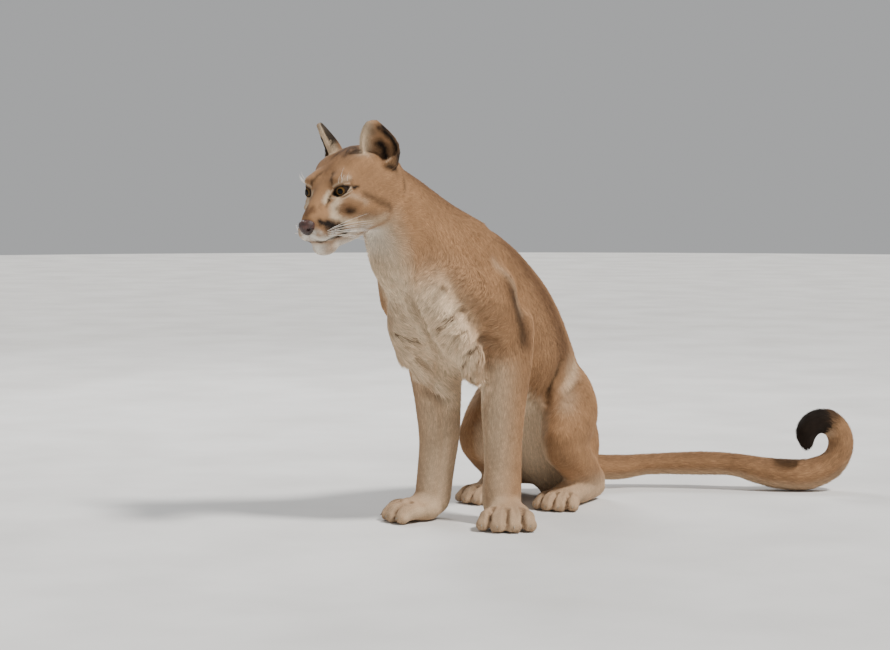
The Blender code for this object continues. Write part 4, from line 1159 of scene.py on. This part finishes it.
class Paint:
    """A new material and short ways to add nodes to it."""

    def __init__(self, name, roughness, specular=0.5):
        self.material = bpy.data.materials.new(name)
        self.material.use_nodes = True
        tree = self.material.node_tree
        self.nodes, self.links = tree.nodes, tree.links
        self.shader = self.nodes["Principled BSDF"]
        self.constant("Roughness", roughness)
        self.constant("Specular IOR Level", specular)
        self.place = self.nodes.new("ShaderNodeTexCoord").outputs["Object"]

    def constant(self, key, value):
        self.shader.inputs[key].default_value = value

    def fed(self, socket, value):
        if isinstance(value, tuple):
            socket.default_value = (*value, 1)
        elif isinstance(value, (int, float)):
            socket.default_value = value
        else:
            self.links.new(value, socket)

    def added(self, kind, **settings):
        node = self.nodes.new("ShaderNode" + kind)
        for key, value in settings.items():
            setattr(node, key, value)
        return node

    def read(self, key, output="Fac"):
        return self.added("Attribute", attribute_name=key).outputs[output]

    def noise(self, scale, detail, place=None):
        node = self.added("TexNoise")
        for key, value in (("Scale", scale), ("Detail", detail), ("Vector", place or self.place)):
            self.fed(node.inputs[key], value)
        return node.outputs["Fac"]

    def cells(self, scale):
        node = self.added("TexVoronoi")
        self.fed(node.inputs["Scale"], scale)
        self.fed(node.inputs["Vector"], self.place)
        return node.outputs["Distance"]

    def sum_of(self, first, second, kind="ADD"):
        node = self.added("Math", operation=kind)
        self.fed(node.inputs[0], first)
        self.fed(node.inputs[1], second)
        return node.outputs[0]

    def ranged(self, value, *limits):
        """A value brought from between the first two limits to between the last two."""
        node = self.added("MapRange")
        for key, setting in zip(("From Min", "From Max", "To Min", "To Max", "Value"), (*limits, value)):
            self.fed(node.inputs[key], setting)
        return node.outputs["Result"]

    def mixed(self, first, second, share, kind="MIX"):
        node = self.added("Mix", data_type="RGBA", blend_type=kind)
        self.fed(node.inputs[6], first)
        self.fed(node.inputs[7], second)
        self.fed(node.inputs["Factor"], share)
        return node.outputs[2]

    def bump(self, height, strength, distance):
        node = self.added("Bump")
        for key, value in (("Strength", strength), ("Distance", distance), ("Height", height)):
            self.fed(node.inputs[key], value)
        self.fed(self.shader.inputs["Normal"], node.outputs["Normal"])

    def coloured(self, colour):
        self.fed(self.shader.inputs["Base Color"], colour)
        return self.material


def fur_material(name, bumpy):
    """Coat colours from the markings and their painted shade and highlights, with the tone of each tuft and
    its tip.
    """
    paint = Paint(name, 0.8, 0.12)
    paint.constant("Sheen Weight", 0.03)
    paint.constant("Sheen Roughness", 0.5)
    patchy = paint.noise(14, 3)
    grain = paint.noise(620, 2)
    colour = paint.mixed(TAWNY, BROWN, paint.ranged(patchy, 0.35, 0.75, 0.0, 0.35))
    colour = paint.mixed(colour, BROWN, paint.sum_of(paint.read("brown"), 0.95, "MULTIPLY"))
    for shade, key in ((CREAM, "pale"), (WHITE, "white"), (BLACK, "dark")):
        colour = paint.mixed(colour, shade, paint.read(key))
    tone = paint.ranged(paint.read("tone"), 0, 1, -0.34, 0.22)
    tone = paint.sum_of(tone, paint.ranged(grain, 0.3, 0.7, -0.08, 0.08))
    tone = paint.sum_of(tone, paint.ranged(paint.read("tip"), 0, 1, 0.90, 1.16))
    if bumpy:
        paint.bump(paint.noise(480, 4), 0.5, 0.001)
    return paint.coloured(paint.mixed(colour, tone, 1.0, "MULTIPLY"))


def eye_material():
    """Round pupil, streaked amber iris darkened as painted shade of the brow, with a dark rim, dark white
    of the eye, all under a wet coat.
    """
    paint = Paint("eye", 0.3, 0.0)
    paint.constant("Coat Weight", 0.22)
    paint.constant("Coat Roughness", 0.02)
    ring = paint.read("ring")
    streaks = paint.noise(7.0, 3, paint.read("streak", "Vector"))
    colour = paint.mixed(IRIS_INNER, IRIS, paint.ranged(ring, PUPIL_RADIUS, IRIS_RADIUS * 0.85, 0, 1))
    colour = paint.mixed(colour, IRIS_RIM, paint.ranged(streaks, 0.42, 0.75, 0.0, 0.8))
    colour = paint.mixed(colour, IRIS_RIM, paint.ranged(ring, IRIS_RADIUS * 0.82, IRIS_RADIUS, 0, 1))
    colour = paint.mixed(colour, EYE_WHITE, paint.ranged(ring, IRIS_RADIUS, IRIS_RADIUS + 0.8, 0, 1))
    pupil = paint.ranged(ring, PUPIL_RADIUS - 0.2, PUPIL_RADIUS + 0.3, 1, 0)
    return paint.coloured(paint.mixed(colour, PUPIL, pupil))


def leather_material():
    """Pebbled nose leather, darker towards its lower edge as painted shade."""
    paint = Paint("nose_leather", 0.42)
    shade = paint.ranged(paint.noise(130, 3), 0.35, 0.7, 0, 1)
    colour = paint.mixed(LEATHER, LEATHER_DARK, shade)
    colour = paint.mixed(colour, LEATHER_DARK, paint.sum_of(paint.read("edge"), 0.9, "MULTIPLY"))
    paint.bump(paint.cells(950), 0.6, 0.0006)
    return paint.coloured(colour)


def streaked_material(name, light, dark, scale, roughness):
    """Two tones in streaks, with a fine bump."""
    paint = Paint(name, roughness)
    streaks = paint.noise(scale, 3)
    paint.bump(paint.noise(scale * 3, 2), 0.2, 0.0003)
    return paint.coloured(paint.mixed(light, dark, paint.ranged(streaks, 0.35, 0.7, 0, 1)))


def make_skin():
    """The skin in place of all flesh; gives its mesh with the coat's sizes and lie."""
    mesh = joined_skin()
    edges = edge_pairs(mesh)
    sizes = coat_depth_moved(mesh, edges)
    normals = smooth_normals(mesh, edges, 3)
    points = coordinates(mesh)
    for key, values in marks_and_painted_light(points, normals).items():
        written(mesh, key, values)
    written(mesh, "tone", np.full(len(points), 0.35))
    written(mesh, "tip", np.full(len(points), 0.15))
    dressed(shown("skin", mesh), fur_material("skin_coat", True), BODY_FLESH + HEAD_FLESH)
    return mesh, sizes, lie_of_coat(drawn(points), normals, edges)


def ball(radius):
    """A fine ball with its poles on the x axis: points and faces."""
    fall = np.linspace(0, math.pi, BALL_RINGS + 1)[1:-1, None]
    turn = np.arange(BALL_SIDES) * 2 * math.pi / BALL_SIDES
    ahead, out = np.cos(fall), np.sin(fall)
    rings = np.stack([ahead + 0 * turn, out * np.cos(turn), out * np.sin(turn)], axis=2)
    points = np.concatenate([[(1, 0, 0)], rings.reshape(-1, 3), [(-1, 0, 0)]]) * radius
    faces = []
    for j in range(BALL_SIDES):
        a, b = 1 + j, 1 + (j + 1) % BALL_SIDES
        faces.append((0, a, b))
        for _ in range(BALL_RINGS - 2):
            faces.append((a, a + BALL_SIDES, b + BALL_SIDES, b))
            a, b = a + BALL_SIDES, b + BALL_SIDES
        faces.append((a, len(points) - 1, b))
    return points, faces


def make_eye(name, side, material):
    """A finely meshed eyeball with a slight bulge over the iris."""
    points, faces = ball(EYE_RADIUS)
    ring = np.where(points[:, 0] > 0, np.hypot(points[:, 1], points[:, 2]), 2 * EYE_RADIUS)
    bulge = 1 + CORNEA_RISE / EYE_RADIUS * np.clip(1 - (ring / IRIS_RADIUS) ** 2, 0, 1)
    streak = np.stack([ring * 0.3, *(points[:, k] / np.maximum(ring, 1e-3) for k in (1, 2))], axis=1)
    place = Matrix.Translation(ORIGIN) @ Matrix.Scale(SCALE, 4) @ head_frame() @ gaze_frame(side)
    mesh = mesh_of(name, through(place, points * bulge[:, None]).tolist(), faces)
    written(mesh, "ring", ring)
    layer = mesh.attributes.new("streak", "FLOAT_VECTOR", "POINT")
    layer.data.foreach_set("vector", streak.astype(np.float32).ravel())
    dressed(shown(name + "_ball", mesh), material, [name])


def make_nose():
    """The bare nose, meshed finely enough for round forms."""
    mesh = remeshed(node_mesh(["nose"]), NOSE_VOXEL)
    set_coordinates(mesh, averaged(coordinates(mesh), edge_pairs(mesh), NOSE_SMOOTHING))
    height = in_head(coordinates(mesh))[:, 2]
    share = (height - height.min()) / (height.max() - height.min())
    # Painted shade: the leather darkens towards its lower edge
    written(mesh, "edge", 1 - smooth_step(share, 0.15, 0.65))
    dressed(shown("nose_leather", mesh), leather_material(), ["nose"])


def hair(points, radius):
    """A thin tapered hair along a path: points and faces."""
    rows, faces = [], []
    ways = unit(np.gradient(points, axis=0))
    side = unit(np.cross(ways, (0.1, 0.3, 1.0)))
    for k, (point, across, up) in enumerate(zip(points, side, np.cross(ways, side))):
        thin = radius * (1 - k / (len(points) - 1)) ** 0.8
        for j in range(HAIR_SIDES):
            turn = 2 * math.pi * j / HAIR_SIDES
            rows.append(point + thin * (across * math.cos(turn) + up * math.sin(turn)))
    rows = rows[: 1 - HAIR_SIDES]
    for k in range(len(points) - 1):
        for j in range(HAIR_SIDES):
            a, b = k * HAIR_SIDES + j, k * HAIR_SIDES + (j + 1) % HAIR_SIDES
            ahead = (b + HAIR_SIDES, a + HAIR_SIDES) if k < len(points) - 2 else (len(rows) - 1,)
            faces.append((a, b, *ahead))
    faces.append(tuple(range(HAIR_SIDES))[::-1])
    return rows, faces


def hairs_piece(name, paths, radius, material):
    """Hairs or claws along paths, as one piece."""
    points, faces = [], []
    for path in paths:
        rows, some = hair(path, radius)
        faces += [[len(points) + i for i in face] for face in some]
        points += [tuple(row) for row in rows]
    dressed(shown(name, mesh_of(name, points, faces)), material)


def bent_path(tree, root, first, last, length):
    """A path in the frame from the skin near a root, starting along one way and bending to another."""
    spot = tree.find_nearest(root)[0]
    share = np.linspace(0, 1, HAIR_STEPS)[:, None]
    ways = unit(np.array(first) * (1 - share) + np.array(last) * share)
    steps = np.cumsum(ways, axis=0) - ways
    return np.array(spot) - ways[0] * HAIR_ROOT + steps * length / (HAIR_STEPS - 1)


def hair_roots():
    """Whiskers and brow hairs of the left side: root, way at the root, way at the tip, length."""
    rows = []
    for z in WHISKER_ROWS:
        fan = np.array((0, 0, (z - WHISKER_ROWS[0]) * WHISKER_FAN))
        first, last = (np.array(way) + fan for way in WHISKER_WAYS)
        rows += [((x, WHISKER_OUT, z), first, last, WHISKER_LENGTH) for x in WHISKER_STEPS]
    return rows + [(root, *BROW_WAYS, BROW_HAIR_LENGTH) for root in BROW_HAIRS]


def make_whiskers(tree):
    """Whiskers of the muzzle and hairs of the brows, on both sides."""
    rng = np.random.default_rng(SEED)
    place = head_frame()
    turn = np.array(place.to_3x3())
    paths = []
    for root, first, last, length in hair_roots():
        for side in (1, -1):
            mirror = np.array((1, side, 1))
            uneven = rng.normal(0, 0.08, 3)
            ways = [turn @ ((np.array(way) + uneven) * mirror) for way in (first, last)]
            start = placed(place @ Vector(np.array(root) * mirror))
            paths.append(bent_path(tree, start, *ways, length * rng.uniform(0.75, 1.1) * SCALE))
    material = streaked_material("whisker", WHISKER_WHITE, CREAM, 60.0, 0.35)
    hairs_piece("whiskers", paths, WHISKER_RADIUS, material)


def make_claws(tree):
    """The tips of the claws, which show at the front of each toe."""
    paths = []
    for place, turn, size in PAWS:
        paw = paw_frame(place, turn)
        ahead = np.array(paw.to_3x3() @ Vector((1, 0, 0)))
        for side, reach in TOES:
            start = placed(paw @ (Vector((reach + CLAW_SEEK, side, CLAW_HEIGHT)) * size))
            spot = tree.ray_cast(start, Vector(-ahead))[0]
            if spot is None:
                continue
            first, last = ahead * 0.8 + (0, 0, 0.1), ahead * 0.5 - (0, 0, 0.9)
            path = bent_path(tree, spot, first, last, CLAW_LENGTH * size)
            paths.append(path - ahead * CLAW_SUNK)
    material = streaked_material("claw", HORN, HORN_DARK, 220.0, 0.35)
    hairs_piece("claws", paths, CLAW_RADIUS, material)


def make_animal():
    """All pieces of the animal."""
    skin, sizes, ways = make_skin()
    unwrap = unwrapped(skin)
    tree = tree_of(coordinates(skin), triangles(skin))
    wet = eye_material()
    make_eye("eye_left", 1, wet)
    make_eye("eye_right", -1, wet)
    make_nose()
    make_whiskers(tree)
    make_claws(tree)
    make_coat(skin, sizes, ways, unwrap, fur_material("coat_tufts", False))


def make_camera():
    """A camera at the photo's angle and framing."""
    data = bpy.data.cameras.new("camera")
    data.sensor_width = SENSOR
    data.lens = FOCAL_PIXELS * SENSOR / FRAME_PIXELS[0]
    across, down = ((FRAME_PIXELS[k] / 2 - HORIZON_PIXEL[k]) / FOCAL_PIXELS for k in (0, 1))
    look = (AWAY + ACROSS * across - UP * down).normalized()
    right = look.cross(UP).normalized()
    place = Matrix((right, right.cross(look), -look)).transposed().to_4x4()
    place.translation = placed(UP * CAMERA_HEIGHT - AWAY * CAMERA_DISTANCE)
    item = linked("camera", data)
    item.matrix_world = place
    bpy.context.scene.camera = item


def area_light(name, place, size, power, colour):
    """A round light that looks at the animal."""
    data = bpy.data.lights.new(name, "AREA")
    data.shape = "DISK"
    data.size = size
    data.energy = power
    data.color = colour
    item = linked(name, data)
    item.location = LIT_POINT + place
    item.rotation_euler = (-place).to_track_quat("-Z", "Y").to_euler()
    return item


def make_light():
    """Soft studio light: one key from the upper right, a weak fill, a rim light and a grey surround."""
    sun = linked("key", bpy.data.lights.new("key", "SUN"))
    sun.data.energy = KEY_POWER
    sun.data.angle = math.radians(KEY_ANGLE)
    sun.data.color = KEY_COLOUR
    sun.rotation_euler = (ACROSS * 0.50 - AWAY * 0.33 + UP * 0.80).to_track_quat("Z", "Y").to_euler()
    fill = area_light("fill", UP * 1.0 - AWAY * 3.0 - ACROSS * 2.6, 3.0, FILL_POWER, FILL_COLOUR)
    fill.visible_glossy = False
    area_light("rim", UP * 2.4 + AWAY * 2.6 - ACROSS * 1.2, 1.5, RIM_POWER, (1, 1, 1))
    world = bpy.data.worlds.new("world")
    bpy.context.scene.world = world
    world.use_nodes = True
    surround = world.node_tree.nodes["Background"].inputs
    surround["Color"].default_value = (*SURROUND, 1)
    surround["Strength"].default_value = SURROUND_STRENGTH


def make_floor():
    """A plain pale floor."""
    mesh = bpy.data.meshes.new("floor")
    bm = bmesh.new()
    bmesh.ops.create_circle(bm, cap_ends=True, radius=FLOOR_RADIUS, segments=96)
    bm.to_mesh(mesh)
    bm.free()
    item = shown("floor", mesh)
    item.data.materials.append(streaked_material("floor", FLOOR, FLOOR_DARK, 3.0, 0.8))


make_animal()
make_camera()
make_light()
make_floor()
